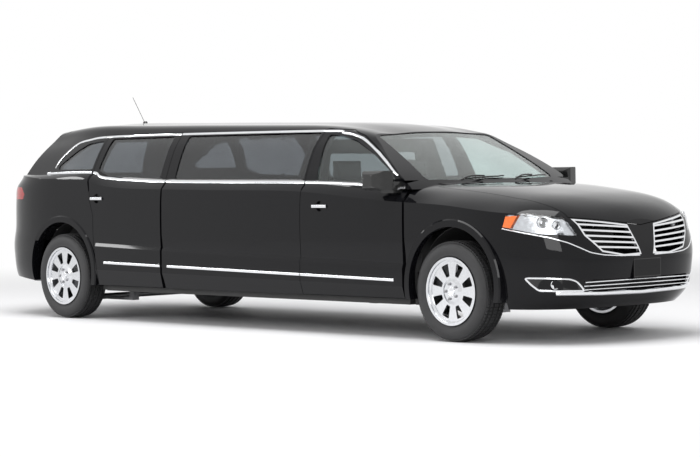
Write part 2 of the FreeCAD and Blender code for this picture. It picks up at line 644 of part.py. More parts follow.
def with_handle(door, place):
    """A right door with its handle: a bar fixed at both ends, over a round hollow for the fingers."""
    x = station(place[0])
    z = level(place[1])
    skin_y = -half_width_at(z)
    recess = disc(Vector(x, skin_y - OVERRUN, z), RECESS_RADIUS, OVERRUN + RECESS_DEPTH, Vector(0, 1, 0))
    bar = block(x - HANDLE_LENGTH / 2, x + HANDLE_LENGTH / 2, skin_y - HANDLE_STAND_OFF, skin_y + HANDLE_SEAT_DEPTH,
                z - HANDLE_HEIGHT / 2, z + HANDLE_HEIGHT / 2)
    ends = [e for e in bar.Edges if abs(e.Vertexes[0].Point.x - e.Vertexes[1].Point.x) < SEAT_GAP
            and abs(e.Vertexes[0].Point.z - e.Vertexes[1].Point.z) < SEAT_GAP]
    bar = bar.makeFillet(HANDLE_ROUNDING, ends)
    under_y = skin_y - HANDLE_STAND_OFF + HANDLE_THICKNESS
    fingers = disc(Vector(x, under_y, z), RECESS_RADIUS, OVERRUN, Vector(0, 1, 0))
    return door.cut(recess).fuse(bar.cut(fingers))


def front_door():
    """The right front door's shell: skin, frame and cladding in one hollowed pressing."""
    door = side_panel(front_cutter(-HALF_GAP)).cut(window(FRONT_WINDOW_SHARES))
    door = biggest(less(door, hinge_notches(FRONT_HINGE_X)))
    return with_handle(door, FRONT_HANDLE_SHARES)


def rear_door():
    """The right rear door's shell."""
    door = side_panel(rear_cutter(-HALF_GAP)).cut(window(REAR_WINDOW_SHARES))
    door = biggest(less(door, hinge_notches(REAR_HINGE_X)))
    return with_handle(door, REAR_HANDLE_SHARES)


def middle_panel():
    """The right panel of the stretch, between the doors, with the rear door's hinges."""
    area = block(REAR_DOOR_X + HALF_GAP, station(FRONT_DOOR_REAR_SHARE) + OVERRUN, -FAR, -ROOM_HALF_WIDTH,
                 level(DOOR_FOOT_SHARE), level(RAIL_SHARE))
    low = less(RIGHT_LOW.common(area), front_cutter(HALF_GAP))
    high = less(RIGHT_HIGH.common(area), front_cutter(HALF_GAP))
    panel = less(low.fuse(high), [hinge_pocket(REAR_HINGE_X), window(MIDDLE_WINDOW_SHARES)])
    return fused([biggest(panel)] + hinge_brackets(REAR_HINGE_X))


# The rear bumper, the tail lamps and the boot's edges, as shares (station, height)
REAR_BUMPER_SHARES = [(-1.20, 0.176), (-1.60, 0.200), (-2.10, 0.212), (-2.10, 0.436), (-1.66, 0.436), (-1.56, 0.398),
                      (-1.20, 0.398)]
TAIL_LAMP_SHARES = [(-1.52, 0.612), (-1.50, 0.640), (-1.56, 0.676), (-2.10, 0.676), (-2.10, 0.612)]
TAIL_BAND_SHARES = (0.612, 0.676)
LAMP_DEPTH = 45.0


def tail_shell():
    """The whole tail, hollow inside."""
    area = block(TAIL_X - OVERRUN, REAR_AXLE_X, -FAR, FAR, 0, HIGH)
    low = LOWER.common(area).cut(CABIN)
    high = HOUSE_WALL.common(area)
    return low.fuse(high)


def side_area(shares, grow=0.0):
    """A side outline carried across the whole car."""
    return side_prism(side_points(shares, grow), -2 * HALF_WIDTH, 2 * HALF_WIDTH)


def quarter_panel():
    """The right rear quarter from the door to the tailgate, with its pillars and the wheel arch."""
    area = block(TAIL_X - OVERRUN, station(-0.86), -2 * HALF_WIDTH, 0, level(DOOR_FOOT_SHARE), level(RAIL_SHARE))
    low = RIGHT_LOW.common(area).fuse(arch_lip(REAR_ARCH_X)).cut(CABIN)
    low = less(low, list(rear_cutter(HALF_GAP)) + [side_area(REAR_BUMPER_SHARES), side_area(TAIL_LAMP_SHARES)])
    high = less(RIGHT_HIGH.common(area), list(rear_cutter(HALF_GAP)) + [side_area(TAIL_LAMP_SHARES)])
    return biggest(less(low.fuse(high), [hatch_prism(HALF_GAP), window(QUARTER_WINDOW_SHARES)]))


def rear_bumper():
    """The rear bumper, wrapped round the tail between the wheel arches."""
    solid = LOWER.common(side_area(REAR_BUMPER_SHARES, -SEAT_GAP)).cut(CABIN)
    lip = disc(Vector(REAR_ARCH_X, -FAR, ARCH_Z), LIP_RADIUS + SEAT_GAP, 2 * FAR, Vector(0, 1, 0))
    return biggest(solid.cut(lip))


def tail_band(inset):
    """The red band round the tail, as a skin of lamp depth."""
    return LOWER.common(side_area(TAIL_LAMP_SHARES, -SEAT_GAP)).cut(wrap(inset))


# The tailgate's hinges, on the roof's rear edge
# Number plate places
PLATE_WIDTH = 300.0
PLATE_HEIGHT = 150.0
PLATE_HOLE_RADIUS = 3.5
PLATE_HOLE_SPACING = 178.0
FRONT_PLATE_Z_SHARE = 0.312
REAR_PLATE_Z_SHARE = 0.535
REAR_PLATE_INSET = 62.0
PLATE_CLEARANCE = 8.0
REAR_PLATE_HOLE_DEPTH = 40.0


def plate_holes(x0, x1, z):
    """The pair of screw holes for a number plate."""
    return [disc(Vector(x0, y, z), PLATE_HOLE_RADIUS, x1 - x0, Vector(1, 0, 0))
            for y in (-PLATE_HOLE_SPACING / 2, PLATE_HOLE_SPACING / 2)]


GATE_HINGE_Y = 180.0
GATE_HINGE_Z_SHARE = 0.9835
GATE_KNUCKLE_RADIUS = 7.0
GATE_PIN_RADIUS = 3.5
GATE_LEAF_WIDTH = 24.0
GATE_EAR_WIDTH = 18.0
GATE_LEAF_REACH = 36.0
GATE_LEAF_DEPTH = 16.0
# The side wings of the gate are cut back here, so that they clear the body when the gate swings up
GATE_WING_Y = 565.0
GATE_WING_RELIEF = [(-3200.0, 1058.0), (-3252.0, 1160.0), (-3254.0, 1210.0), (-3162.0, 1266.0), (-3092.0, 1320.0),
                    (-3042.0, 1380.0), (-2978.0, 1440.0), (-2905.0, 1500.0), (-2858.0, 1562.0), (-2600.0, 1562.0),
                    (-2600.0, 1058.0)]


def gate_barrel(y0, y1, radius):
    """A round on the tailgate's hinge line."""
    centre = Vector(station(HATCH_TOP_X_SHARE), y0, level(GATE_HINGE_Z_SHARE))
    return disc(centre, radius, y1 - y0, Vector(0, 1, 0))


def gate_leaf(y0, y1, sense):
    """One leaf of a tailgate hinge, its knuckle and the arm that goes to the roof (1) or the gate (-1)."""
    x = station(HATCH_TOP_X_SHARE)
    z = level(GATE_HINGE_Z_SHARE)
    ends = sorted([x, x + sense * GATE_LEAF_REACH])
    arm = block(ends[0], ends[1], y0, y1, z - GATE_LEAF_DEPTH, z + SEAT_GAP)
    return gate_barrel(y0, y1, GATE_KNUCKLE_RADIUS).fuse(arm)


def gate_hinge_spans():
    """The widths across the car of each hinge's middle leaf, and of the two ears beside it."""
    spans = []
    for y in (-GATE_HINGE_Y, GATE_HINGE_Y):
        half = GATE_LEAF_WIDTH / 2
        ears = [(y - half - GATE_EAR_WIDTH, y - half - SEAT_GAP), (y + half + SEAT_GAP, y + half + GATE_EAR_WIDTH)]
        spans.append(((y - half, y + half), ears))
    return spans


def tailgate(band):
    """The tailgate's shell with its rear window opening and its hinge ears and pins."""
    gate = tail_shell().common(hatch_prism(-HALF_GAP)).cut(rear_screen_opening())
    gate = biggest(gate.cut(band))
    wing = side_prism(GATE_WING_RELIEF, -FAR, -GATE_WING_Y)
    gate = biggest(less(gate, [wing, across(wing)]))
    plate_z = level(REAR_PLATE_Z_SHARE)
    plate_x = TAIL_X + REAR_PLATE_INSET
    half_width = PLATE_WIDTH / 2 + PLATE_CLEARANCE
    half_height = PLATE_HEIGHT / 2 + PLATE_CLEARANCE
    recess = block(TAIL_X - OVERRUN, plate_x, -half_width, half_width, plate_z - half_height, plate_z + half_height)
    gate = less(gate, [recess] + plate_holes(plate_x - OVERRUN, plate_x + REAR_PLATE_HOLE_DEPTH, plate_z))
    for middle, ears in gate_hinge_spans():
        gate = gate.cut(gate_barrel(middle[0] - SHUT_GAP, middle[1] + SHUT_GAP, GATE_KNUCKLE_RADIUS + SHUT_GAP))
        gate = gate.multiFuse([gate_barrel(ears[0][0], ears[1][1], GATE_PIN_RADIUS)] + [gate_leaf(a, b, -1) for a, b in ears])
    return gate


def rear_screen_opening():
    """The rear window's outline from behind."""
    right = [(-breadth(y), level(z)) for y, z in REAR_SCREEN_SHARES]
    points = right + [(-y, z) for y, z in reversed(right)]
    return front_prism(points, TAIL_X - OVERRUN, station(HATCH_TOP_X_SHARE), WINDOW_CORNER)


def screen_opening(grow=0.0):
    """The windscreen's opening, seen from above."""
    points = [Vector(station(s), breadth(y), 0) for s, y in SCREEN_OPENING_SHARES]
    return plan_prism([(p.x, p.y) for p in points], level(BELT_LINE_SHARE), 2 * BODY_HEIGHT, 2 * WINDOW_CORNER)


DOOR_SWING_ROOM = 136.0


def roof_frame():
    """The roof with its front pillars, header and rails in one piece."""
    below = block(TAIL_X - OVERRUN, station(FRONT_DOOR_REAR_SHARE) + OVERRUN, -FAR, FAR, 0, level(RAIL_SHARE))
    doors = [front_cutter(HALF_GAP)[1], rear_cutter(HALF_GAP)[1]]
    doors.append(block(FRONT_HINGE_X - OVERRUN, FRONT_DOOR_X, -FAR, -HINGE_Y + DOOR_SWING_ROOM, 0, level(BELT_SHARE)))
    frame = less(HOUSE_WALL, [below] + doors + [across(door) for door in doors])
    frame = less(frame, [hatch_prism(HALF_GAP), screen_opening(), COWL_BED])
    cowl = block(station(COWL_START_SHARE), station(0), -breadth(COWL_HALF_SHARE), breadth(COWL_HALF_SHARE), 0, HIGH)
    frame = biggest(biggest(frame).fuse(FRONT_SHELL.common(cowl).cut(bonnet_space(HATCH_GAP))))
    frame = less(frame, bonnet_hinge_rooms())
    for middle, ears in gate_hinge_spans():
        for a, b in ears:
            frame = frame.cut(gate_barrel(a - SHUT_GAP, b + SHUT_GAP, GATE_KNUCKLE_RADIUS + SHUT_GAP))
        frame = frame.fuse(gate_leaf(middle[0], middle[1], 1))
        frame = frame.cut(gate_barrel(ears[0][0], ears[1][1], GATE_PIN_RADIUS + SEAT_GAP))
    return biggest(frame)


# The bonnet, the lamps and the grille, as shares
BONNET_SHARES = [(-0.0720, 0.735), (0.078, 0.748), (0.43, 0.738), (0.62, 0.705), (0.77, 0.650), (1.20, 0.650)]
BONNET_REAR_MIDDLE_SHARE = -0.0600
COWL_HALF_SHARE = 0.700
COWL_START_SHARE = -0.1030
BONNET_LINE_SHARES = [(0.0, 0.492), (0.15, 0.502), (0.40, 0.519), (0.66, 0.533), (0.80, 0.548)]
BUMPER_SEAM_SHARES = [(0.436, 0.0), (0.436, 0.249), (0.532, 0.367), (0.440, 0.497), (0.440, 0.60), (1.30, 0.60),
                      (1.30, 0.0)]
LAMP_SHARES = [(0.430, 0.90, 0.545), (0.60, 0.85, 0.552), (0.76, 0.66, 0.534), (0.86, 0.62, 0.455),
               (0.66, 0.85, 0.468), (0.46, 0.95, 0.494)]
LAMP_HEADING = 35.0
WING_SHARES = [(0.640, 0.527), (0.400, 0.513), (0.151, 0.496), (0.066, 0.369), (0.260, 0.366), (0.471, 0.386),
               (0.590, 0.455)]
INTAKE_SHARES = [(0.56, 0.272), (-0.56, 0.272), (-0.56, 0.218), (0.56, 0.218)]
GRILLE_OUTER_SHARES = (0.386, 0.141)
GRILLE_INNER_SHARES = (0.369, 0.127)
SLAT_COUNT = 5
SLAT_HEIGHT = 13.0
SLAT_DEPTH = 26.0
SURROUND_WIDTH = 12.0
FRONT_AREA = block(FRONT_DOOR_X - OVERRUN, NOSE_X + OVERRUN, -2 * HALF_WIDTH, 2 * HALF_WIDTH, 0, BODY_HEIGHT)
FRONT_BODY = LOWER.common(FRONT_AREA)
LOWER_SKIN = wrap(SKIN_DEPTH).cut(above_top(SKIN_DEPTH)).common(FRONT_AREA)
FRONT_SHELL = FRONT_BODY.cut(LOWER_SKIN)
COWL_AREA = block(FRONT_DOOR_X - 4 * OVERRUN, station(0), -FAR, FAR, 0, BODY_HEIGHT)
COWL_BED = LOWER.common(COWL_AREA)


def bonnet_space(grow):
    """The bonnet's plan, over a line that falls towards the nose's middle."""
    right = [Vector(station(s), -breadth(y), 0) for s, y in BONNET_SHARES]
    points = right + [Vector(p.x, -p.y, 0) for p in reversed(right)]
    points.append(Vector(station(BONNET_REAR_MIDDLE_SHARE), 0, 0))
    wire = Part.Face(Part.makePolygon(points + points[:1])).makeOffset2D(grow, 2).OuterWire
    plan = plan_prism([(v.Point.x, v.Point.y) for v in wire.OrderedVertexes], 0, BODY_HEIGHT)
    line = [(-breadth(y), level(z) - grow) for y, z in BONNET_LINE_SHARES]
    line = list(reversed(line)) + [(-y, z) for y, z in line[1:]]
    line += [(2 * HALF_WIDTH, line[-1][1]), (2 * HALF_WIDTH, BODY_HEIGHT), (-2 * HALF_WIDTH, BODY_HEIGHT),
             (-2 * HALF_WIDTH, line[0][1])]
    return plan.common(front_prism(line, 0, NOSE_X + OVERRUN))


# The bonnet's hinges, under the cowl
BONNET_HINGE_SHARES = (-0.0838, 0.657)
BONNET_HINGE_Y = 620.0
BONNET_ARM_WIDTH = 20.0
BONNET_ARM_REACH = 110.0
BONNET_ARM_HALF_HEIGHT = 10.0
BONNET_PIN_RADIUS = 5.0
BONNET_PIN_LENGTH = 60.0


def bonnet_hinge_rooms():
    """The slots in the cowl that the bonnet's arms rise through, with the bores for their pins."""
    x = station(BONNET_HINGE_SHARES[0])
    z = level(BONNET_HINGE_SHARES[1])
    rooms = []
    for y in (-BONNET_HINGE_Y, BONNET_HINGE_Y):
        half = BONNET_ARM_WIDTH / 2 + HINGE_NOTCH_GAP
        back = x - BONNET_ARM_HALF_HEIGHT - HINGE_NOTCH_GAP
        slot = block(back, x + BONNET_ARM_REACH, y - half, y + half, z - 2 * BONNET_ARM_HALF_HEIGHT, HIGH)
        pin = disc(Vector(x, y - BONNET_PIN_LENGTH / 2 - SEAT_GAP, z), BONNET_PIN_RADIUS + SEAT_GAP,
                   BONNET_PIN_LENGTH + 2 * SEAT_GAP, Vector(0, 1, 0))
        rooms.append(slot.fuse(pin))
    return rooms


def bonnet():
    """The bonnet's panel with its two hinge arms and their pins."""
    pieces = [biggest(FRONT_SHELL.common(bonnet_space(-HALF_GAP)))]
    x = station(BONNET_HINGE_SHARES[0])
    z = level(BONNET_HINGE_SHARES[1])
    for y in (-BONNET_HINGE_Y, BONNET_HINGE_Y):
        half = BONNET_ARM_WIDTH / 2
        pieces.append(block(x, x + BONNET_ARM_REACH, y - half, y + half, z - BONNET_ARM_HALF_HEIGHT,
                            z + BONNET_ARM_HALF_HEIGHT))
        pieces.append(disc(Vector(x, y - half, z), BONNET_ARM_HALF_HEIGHT, BONNET_ARM_WIDTH, Vector(0, 1, 0)))
        pieces.append(disc(Vector(x, y - BONNET_PIN_LENGTH / 2, z), BONNET_PIN_RADIUS, BONNET_PIN_LENGTH,
                           Vector(0, 1, 0)))
    return fused(pieces)


def slanted(shares, heading):
    """A right outline of (station, half width, height) shares, carried along a heading off the nose."""
    direction = Vector(math.cos(math.radians(heading)), -math.sin(math.radians(heading)), 0)
    points = []
    for s, y, z in shares:
        point = Vector(station(s), -breadth(y), level(z))
        origin = Vector(station(0), 0, 0)
        points.append(point - direction * (point - origin).dot(direction))
    face = Part.Face(Part.makePolygon(points + points[:1]))
    return face.extrude(direction * (2 * HALF_WIDTH))


def wing(mirrored, trim=0.0):
    """One half of the grille's outline, seen from the front."""
    points = [Vector(0, -breadth(y), level(z)) for y, z in WING_SHARES]
    face = Part.Face(Part.makePolygon(points + points[:1]))
    if trim:
        face = Part.Face(face.makeOffset2D(-trim, 2).OuterWire)
    face.translate(Vector(FRONT_AXLE_X, 0, 0))
    solid = face.extrude(Vector(2 * FRONT_OVERHANG, 0, 0))
    return across(solid) if mirrored else solid


def grille():
    """The right half of the grille: its surround and slats in one piece."""
    band = FRONT_BODY.common(wing(False, SEAT_GAP)).cut(wrap(SLAT_DEPTH))
    gaps = wing(False, SURROUND_WIDTH)
    for k in range(1, SLAT_COUNT + 1):
        share = k / (SLAT_COUNT + 1)
        outer_z = level(GRILLE_OUTER_SHARES[0] + GRILLE_OUTER_SHARES[1] * share)
        inner_z = level(GRILLE_INNER_SHARES[0] + GRILLE_INNER_SHARES[1] * share)
        line = [(-breadth(0.70), outer_z), (0.0, inner_z), (0.0, inner_z + SLAT_HEIGHT),
                (-breadth(0.70), outer_z + SLAT_HEIGHT)]
        gaps = gaps.cut(front_prism(line, FRONT_AXLE_X - OVERRUN, NOSE_X + FRONT_OVERHANG + 2 * OVERRUN))
    return band.cut(gaps)


def intake(x0, x1):
    """The low air intake's outline, from the front."""
    return front_prism([(breadth(y), level(z)) for y, z in INTAKE_SHARES], x0, x1, WINDOW_CORNER)


def front_bumper(lamp):
    """The front bumper and the nose round the grille."""
    solid = FRONT_SHELL.common(side_area(BUMPER_SEAM_SHARES))
    lip = disc(Vector(FRONT_ARCH_X, -FAR, ARCH_Z), LIP_RADIUS, 2 * FAR, Vector(0, 1, 0))
    solid = biggest(less(solid, [bonnet_space(HALF_GAP), lamp, across(lamp), wing(False), wing(True),
                                 intake(FRONT_AXLE_X, NOSE_X + OVERRUN), lip]))
    z = level(FRONT_PLATE_Z_SHARE)
    pad = block(NOSE_X - OVERRUN, NOSE_X - SEAT_GAP, -PLATE_WIDTH / 2, PLATE_WIDTH / 2, z - PLATE_HEIGHT / 2,
                z + PLATE_HEIGHT / 2)
    pad = pad.cut(LOWER_SKIN)
    return less(solid.fuse(pad), plate_holes(NOSE_X - 2 * OVERRUN, NOSE_X + OVERRUN, z))


def fender(lamp):
    """The right front fender with its arch lip."""
    area = block(FRONT_DOOR_X, NOSE_X, -FAR, 0, level(DOOR_FOOT_SHARE), BODY_HEIGHT)
    solid = FRONT_SHELL.common(area).cut(side_area(BUMPER_SEAM_SHARES))
    solid = solid.fuse(arch_lip(FRONT_ARCH_X).cut(LOWER_SKIN))
    solid = less(solid, [bonnet_space(HALF_GAP), lamp, wheel_well(FRONT_ARCH_X, WELL_INNER_Y),
                         hinge_pocket(FRONT_HINGE_X), HOUSE.common(COWL_AREA),
                         block(FRONT_DOOR_X - OVERRUN, station(BONNET_REAR_MIDDLE_SHARE),
                               -breadth(COWL_HALF_SHARE) - SEAT_GAP, 0, 0, HIGH)])
    return biggest(less(solid, list(front_cutter(HALF_GAP))))


# The floor, sills, posts and wheel houses
FLOOR_Z = 255.0
FLOOR_THICKNESS = 40.0
STEER_ROOM_RADIUS = 436.0
STEER_WALL_TOP = 500.0
JACK_PAD_X = 1500.0
JACK_PAD_Y = 795.0
JACK_PAD_LENGTH = 80.0
JACK_PAD_WIDTH = 36.0
JACK_PAD_DEPTH = 8.0
SILL_HEIGHT = 125.0
SILL_WIDTH = 80.0
OUTER_SILL_WIDTH = 62.0
POST_WIDTH = 110.0
POST_LENGTH = 78.0
POST_HEIGHT = 750.0
FIREWALL_THICKNESS = 30.0
FIREWALL_CORNER = 45.0
FIREWALL_SHARE = -0.078
LINER_THICKNESS = 6.0
BODY_SIDE_INNER = INNER_Y - 15.0
BOOT_FLOOR_Z = 400.0
BOOT_STEP_SHARE = -1.30
BOOT_TAPER_SHARE = -1.775
BOOT_END_SHARE = -1.84
BOOT_HALF_WIDTH = 656.0
BOOT_END_HALF_WIDTH = 490.0


def steer_room(radius, z0, z1):
    """The upright round space that the right front tyre sweeps when it steers."""
    return disc(Vector(FRONT_AXLE_X, -STEER_Y, z0), radius, z1 - z0, Vector(0, 0, 1))


def steer_wall():
    """The curved wall behind that space, on the cabin's side."""
    wall = steer_room(STEER_ROOM_RADIUS + LINER_THICKNESS, FLOOR_Z, STEER_WALL_TOP)
    wall = wall.cut(steer_room(STEER_ROOM_RADIUS, FLOOR_Z - OVERRUN, STEER_WALL_TOP + OVERRUN))
    return wall.common(block(0, station(FIREWALL_SHARE), -BODY_SIDE_INNER, 0, FLOOR_Z, STEER_WALL_TOP))


def wheel_house(centre_x, inner_y, outer_y):
    """A right wheel house: an arched liner over the tyre, with its inner wall."""
    length = outer_y - inner_y
    start = Vector(centre_x, -outer_y, ARCH_Z)
    shell = disc(start, ARCH_RADIUS + LINER_THICKNESS, length, Vector(0, 1, 0))
    shell = shell.cut(disc(start, ARCH_RADIUS, length, Vector(0, 1, 0)))
    below = block(centre_x - FAR, centre_x + FAR, 0, -FAR, -BODY_HEIGHT, FLOOR_Z + FLOOR_THICKNESS)
    return shell.cut(below)


def inner_wall(centre_x, inner_y):
    """The wall that closes a right rear wheel house on the inside."""
    wall = disc(Vector(centre_x, -inner_y, ARCH_Z), ARCH_RADIUS + LINER_THICKNESS, LINER_THICKNESS, Vector(0, 1, 0))
    return wall.cut(block(centre_x - FAR, centre_x + FAR, 0, -FAR, -BODY_HEIGHT, FLOOR_Z + FLOOR_THICKNESS))


def underbody():
    """The floor with its sills, front posts, firewall and wheel houses in one welded piece."""
    firewall_x = station(FIREWALL_SHARE)
    floor_top = FLOOR_Z + FLOOR_THICKNESS
    boot_x = station(BOOT_STEP_SHARE)
    floor = block(boot_x, firewall_x, -BODY_SIDE_INNER, BODY_SIDE_INNER, FLOOR_Z, floor_top)
    step = block(boot_x, boot_x + FLOOR_THICKNESS, -BODY_SIDE_INNER * 0.8, BODY_SIDE_INNER * 0.8, FLOOR_Z,
                 BOOT_FLOOR_Z + FLOOR_THICKNESS)
    right = [(boot_x, -BOOT_HALF_WIDTH), (station(BOOT_TAPER_SHARE), -BOOT_HALF_WIDTH),
             (station(BOOT_END_SHARE), -BOOT_END_HALF_WIDTH)]
    boot = plan_prism(right + [(x, -y) for x, y in reversed(right)], BOOT_FLOOR_Z, BOOT_FLOOR_Z + FLOOR_THICKNESS)
    firewall_z = level(HOUSE_FOOT_SHARE) - FLOOR_THICKNESS
    outline = [(-BODY_SIDE_INNER, FLOOR_Z), (BODY_SIDE_INNER, FLOOR_Z), (BODY_SIDE_INNER, firewall_z - FIREWALL_CORNER),
               (BODY_SIDE_INNER - FIREWALL_CORNER, firewall_z), (FIREWALL_CORNER - BODY_SIDE_INNER, firewall_z),
               (-BODY_SIDE_INNER, firewall_z - FIREWALL_CORNER)]
    firewall = front_prism(outline, firewall_x - FIREWALL_THICKNESS, firewall_x)
    wells = [wheel_well(FRONT_ARCH_X, WELL_INNER_Y), wheel_well(REAR_ARCH_X, REAR_WELL_INNER_Y)]
    wells.append(steer_room(STEER_ROOM_RADIUS, FLOOR_Z - OVERRUN, STEER_WALL_TOP))
    rooms = list(wells)
    wells += [across(well) for well in wells]
    pieces = [less(piece, wells) for piece in (floor, step, boot, firewall)]
    sides = []
    sill = block(REAR_ARCH_X + LIP_RADIUS, firewall_x, -BODY_SIDE_INNER, -BODY_SIDE_INNER + SILL_WIDTH, FLOOR_Z,
                 floor_top + SILL_HEIGHT)
    ledge = block(REAR_ARCH_X + LIP_RADIUS + OVERRUN, FRONT_DOOR_X, -BODY_SIDE_INNER - OUTER_SILL_WIDTH,
                  -BODY_SIDE_INNER, FLOOR_Z, level(DOOR_FOOT_SHARE) - SHUT_GAP)
    post_x = FRONT_HINGE_X + HINGE_ARM_REACH - HINGE_KNUCKLE_RADIUS
    post_y = -HINGE_Y + HINGE_ARM_WIDTH - HINGE_ARM_THICKNESS
    post = block(post_x, post_x + POST_LENGTH, post_y, post_y + POST_WIDTH, FLOOR_Z, FLOOR_Z + POST_HEIGHT)
    sides += [less(piece, rooms) for piece in [sill, ledge, post] + hinge_brackets(FRONT_HINGE_X)]
    for x in (JACK_PAD_X, -JACK_PAD_X):
        sides.append(block(x - JACK_PAD_LENGTH / 2, x + JACK_PAD_LENGTH / 2, -JACK_PAD_Y - JACK_PAD_WIDTH / 2,
                           -JACK_PAD_Y + JACK_PAD_WIDTH / 2, FLOOR_Z - JACK_PAD_DEPTH, FLOOR_Z + JACK_PAD_DEPTH))
    sides.append(wheel_house(REAR_ARCH_X, REAR_WELL_INNER_Y, BODY_SIDE_INNER))
    sides.append(inner_wall(REAR_ARCH_X, REAR_WELL_INNER_Y))
    sides.append(wheel_house(FRONT_ARCH_X, WELL_INNER_Y, BODY_SIDE_INNER).cut(rooms[2]))
    sides.append(steer_wall())
    pieces += sides + [across(side) for side in sides]
    return biggest(fused(pieces))


# The running gear
ENGINE_LENGTH = 560.0
ENGINE_WIDTH = 760.0
ENGINE_HEIGHT = 500.0
SUBFRAME_HEIGHT = 45.0
SUBFRAME_LENGTH = 620.0
SUBFRAME_WIDTH = 800.0
ARM_WIDTH = 60.0
ARM_HEIGHT = 26.0
BALL_RADIUS = 11.0
BALL_LENGTH = 40.0
LOWER_BALL_Z = 235.0
UPPER_BALL_Z = 505.0
STRUT_RADIUS = 28.0
STRUT_Y = 600.0
TUBE_RADIUS = 26.0
BEAM_GAP = 4.0
UPRIGHT_WIDTH = 90.0
UPRIGHT_DEPTH = 40.0
DISC_RADIUS = 160.0
DISC_THICKNESS = 26.0
STEER_Y = HALF_TRACK - STEER_AXIS_INSET
STUB_RADIUS = HUB_RADIUS - SEAT_GAP
RIM_OUTER_Y = HALF_TRACK + TYRE_WIDTH * 0.44
RIM_INNER_Y = HALF_TRACK - TYRE_WIDTH * 0.44
HUB_OUTER_Y = HALF_TRACK + TYRE_WIDTH * 0.33
HUB_INNER_Y = HALF_TRACK + TYRE_WIDTH * 0.10


def engine_block():
    """The engine as one plain mass over the front subframe."""
    x = FRONT_AXLE_X + ARM_WIDTH
    return block(x - ENGINE_LENGTH * 0.35, x + ENGINE_LENGTH * 0.65, -ENGINE_WIDTH / 2, ENGINE_WIDTH / 2,
                 FLOOR_Z + SUBFRAME_HEIGHT, FLOOR_Z + SUBFRAME_HEIGHT + ENGINE_HEIGHT)


def front_suspension():
    """The front subframe, reaching back to the floor, with its arms, ball pins and dampers."""
    back_x = station(FIREWALL_SHARE)
    rails = block(back_x, FRONT_AXLE_X + SUBFRAME_LENGTH / 2, -SUBFRAME_WIDTH / 2, SUBFRAME_WIDTH / 2, FLOOR_Z,
                  FLOOR_Z + SUBFRAME_HEIGHT)
    hole = block(back_x + 2 * ARM_WIDTH, FRONT_AXLE_X - ENGINE_LENGTH * 0.5, -SUBFRAME_WIDTH / 2 + 2 * ARM_WIDTH,
                 SUBFRAME_WIDTH / 2 - 2 * ARM_WIDTH, 0, BODY_HEIGHT)
    rails = rails.cut(hole)
    pieces = [rails]
    sides = []
    arm_y = -STEER_Y - BALL_RADIUS
    low_z = LOWER_BALL_Z - BALL_LENGTH / 2 - ARM_HEIGHT
    sides.append(block(FRONT_AXLE_X - ARM_WIDTH / 2, FRONT_AXLE_X + ARM_WIDTH / 2, arm_y, -SUBFRAME_WIDTH / 2 + ARM_WIDTH,
                       low_z, low_z + ARM_HEIGHT))
    sides.append(block(FRONT_AXLE_X - ARM_WIDTH / 2, FRONT_AXLE_X + ARM_WIDTH / 2, -SUBFRAME_WIDTH / 2,
                       -SUBFRAME_WIDTH / 2 + ARM_WIDTH, low_z, FLOOR_Z))
    sides.append(disc(Vector(FRONT_AXLE_X, -STEER_Y, low_z + ARM_HEIGHT), BALL_RADIUS, BALL_LENGTH, Vector(0, 0, 1)))
    high_z = UPPER_BALL_Z + BALL_LENGTH / 2
    sides.append(block(FRONT_AXLE_X - ARM_WIDTH / 2, FRONT_AXLE_X + ARM_WIDTH / 2, arm_y, -SUBFRAME_WIDTH / 2,
                       high_z, high_z + ARM_HEIGHT))
    sides.append(block(FRONT_AXLE_X - ARM_WIDTH / 2, FRONT_AXLE_X + ARM_WIDTH / 2, -SUBFRAME_WIDTH / 2 - ARM_HEIGHT / 2,
                       -SUBFRAME_WIDTH / 2, FLOOR_Z, high_z + ARM_HEIGHT))
    sides.append(disc(Vector(FRONT_AXLE_X, -STEER_Y, high_z - BALL_LENGTH), BALL_RADIUS, BALL_LENGTH, Vector(0, 0, 1)))
    top = ARCH_Z + math.sqrt(ARCH_RADIUS ** 2 - FRONT_ARCH_AHEAD ** 2) - SEAT_GAP - STRUT_RADIUS / 2
    sides.append(disc(Vector(FRONT_AXLE_X, -STRUT_Y, low_z), STRUT_RADIUS, top - low_z, Vector(0, 0, 1)))
    pieces += sides + [across(side) for side in sides]
    return fused(pieces)


def steering_knuckle():
    """The right front upright with its ball sockets, brake disc and stub axle."""
    low_z = LOWER_BALL_Z - BALL_LENGTH / 2 + SEAT_GAP
    high_z = UPPER_BALL_Z + BALL_LENGTH / 2 - SEAT_GAP
    upright = block(FRONT_AXLE_X - UPRIGHT_DEPTH, FRONT_AXLE_X + UPRIGHT_DEPTH, -STEER_Y - UPRIGHT_DEPTH,
                    -STEER_Y + UPRIGHT_DEPTH / 2, low_z, high_z)
    plate = disc(Vector(FRONT_AXLE_X, -STEER_Y - UPRIGHT_DEPTH, AXLE_Z), DISC_RADIUS, DISC_THICKNESS, Vector(0, -1, 0))
    stub = disc(Vector(FRONT_AXLE_X, -STEER_Y, AXLE_Z), STUB_RADIUS, HUB_OUTER_Y - STEER_Y, Vector(0, -1, 0))
    solid = fused([upright, plate, stub])
    for z in (low_z, high_z):
        foot = min(z, AXLE_Z + z - low_z)
        socket = disc(Vector(FRONT_AXLE_X, -STEER_Y, z - BALL_LENGTH), BALL_RADIUS + SEAT_GAP, 2 * BALL_LENGTH,
                      Vector(0, 0, 1))
        solid = solid.cut(socket)
    return solid


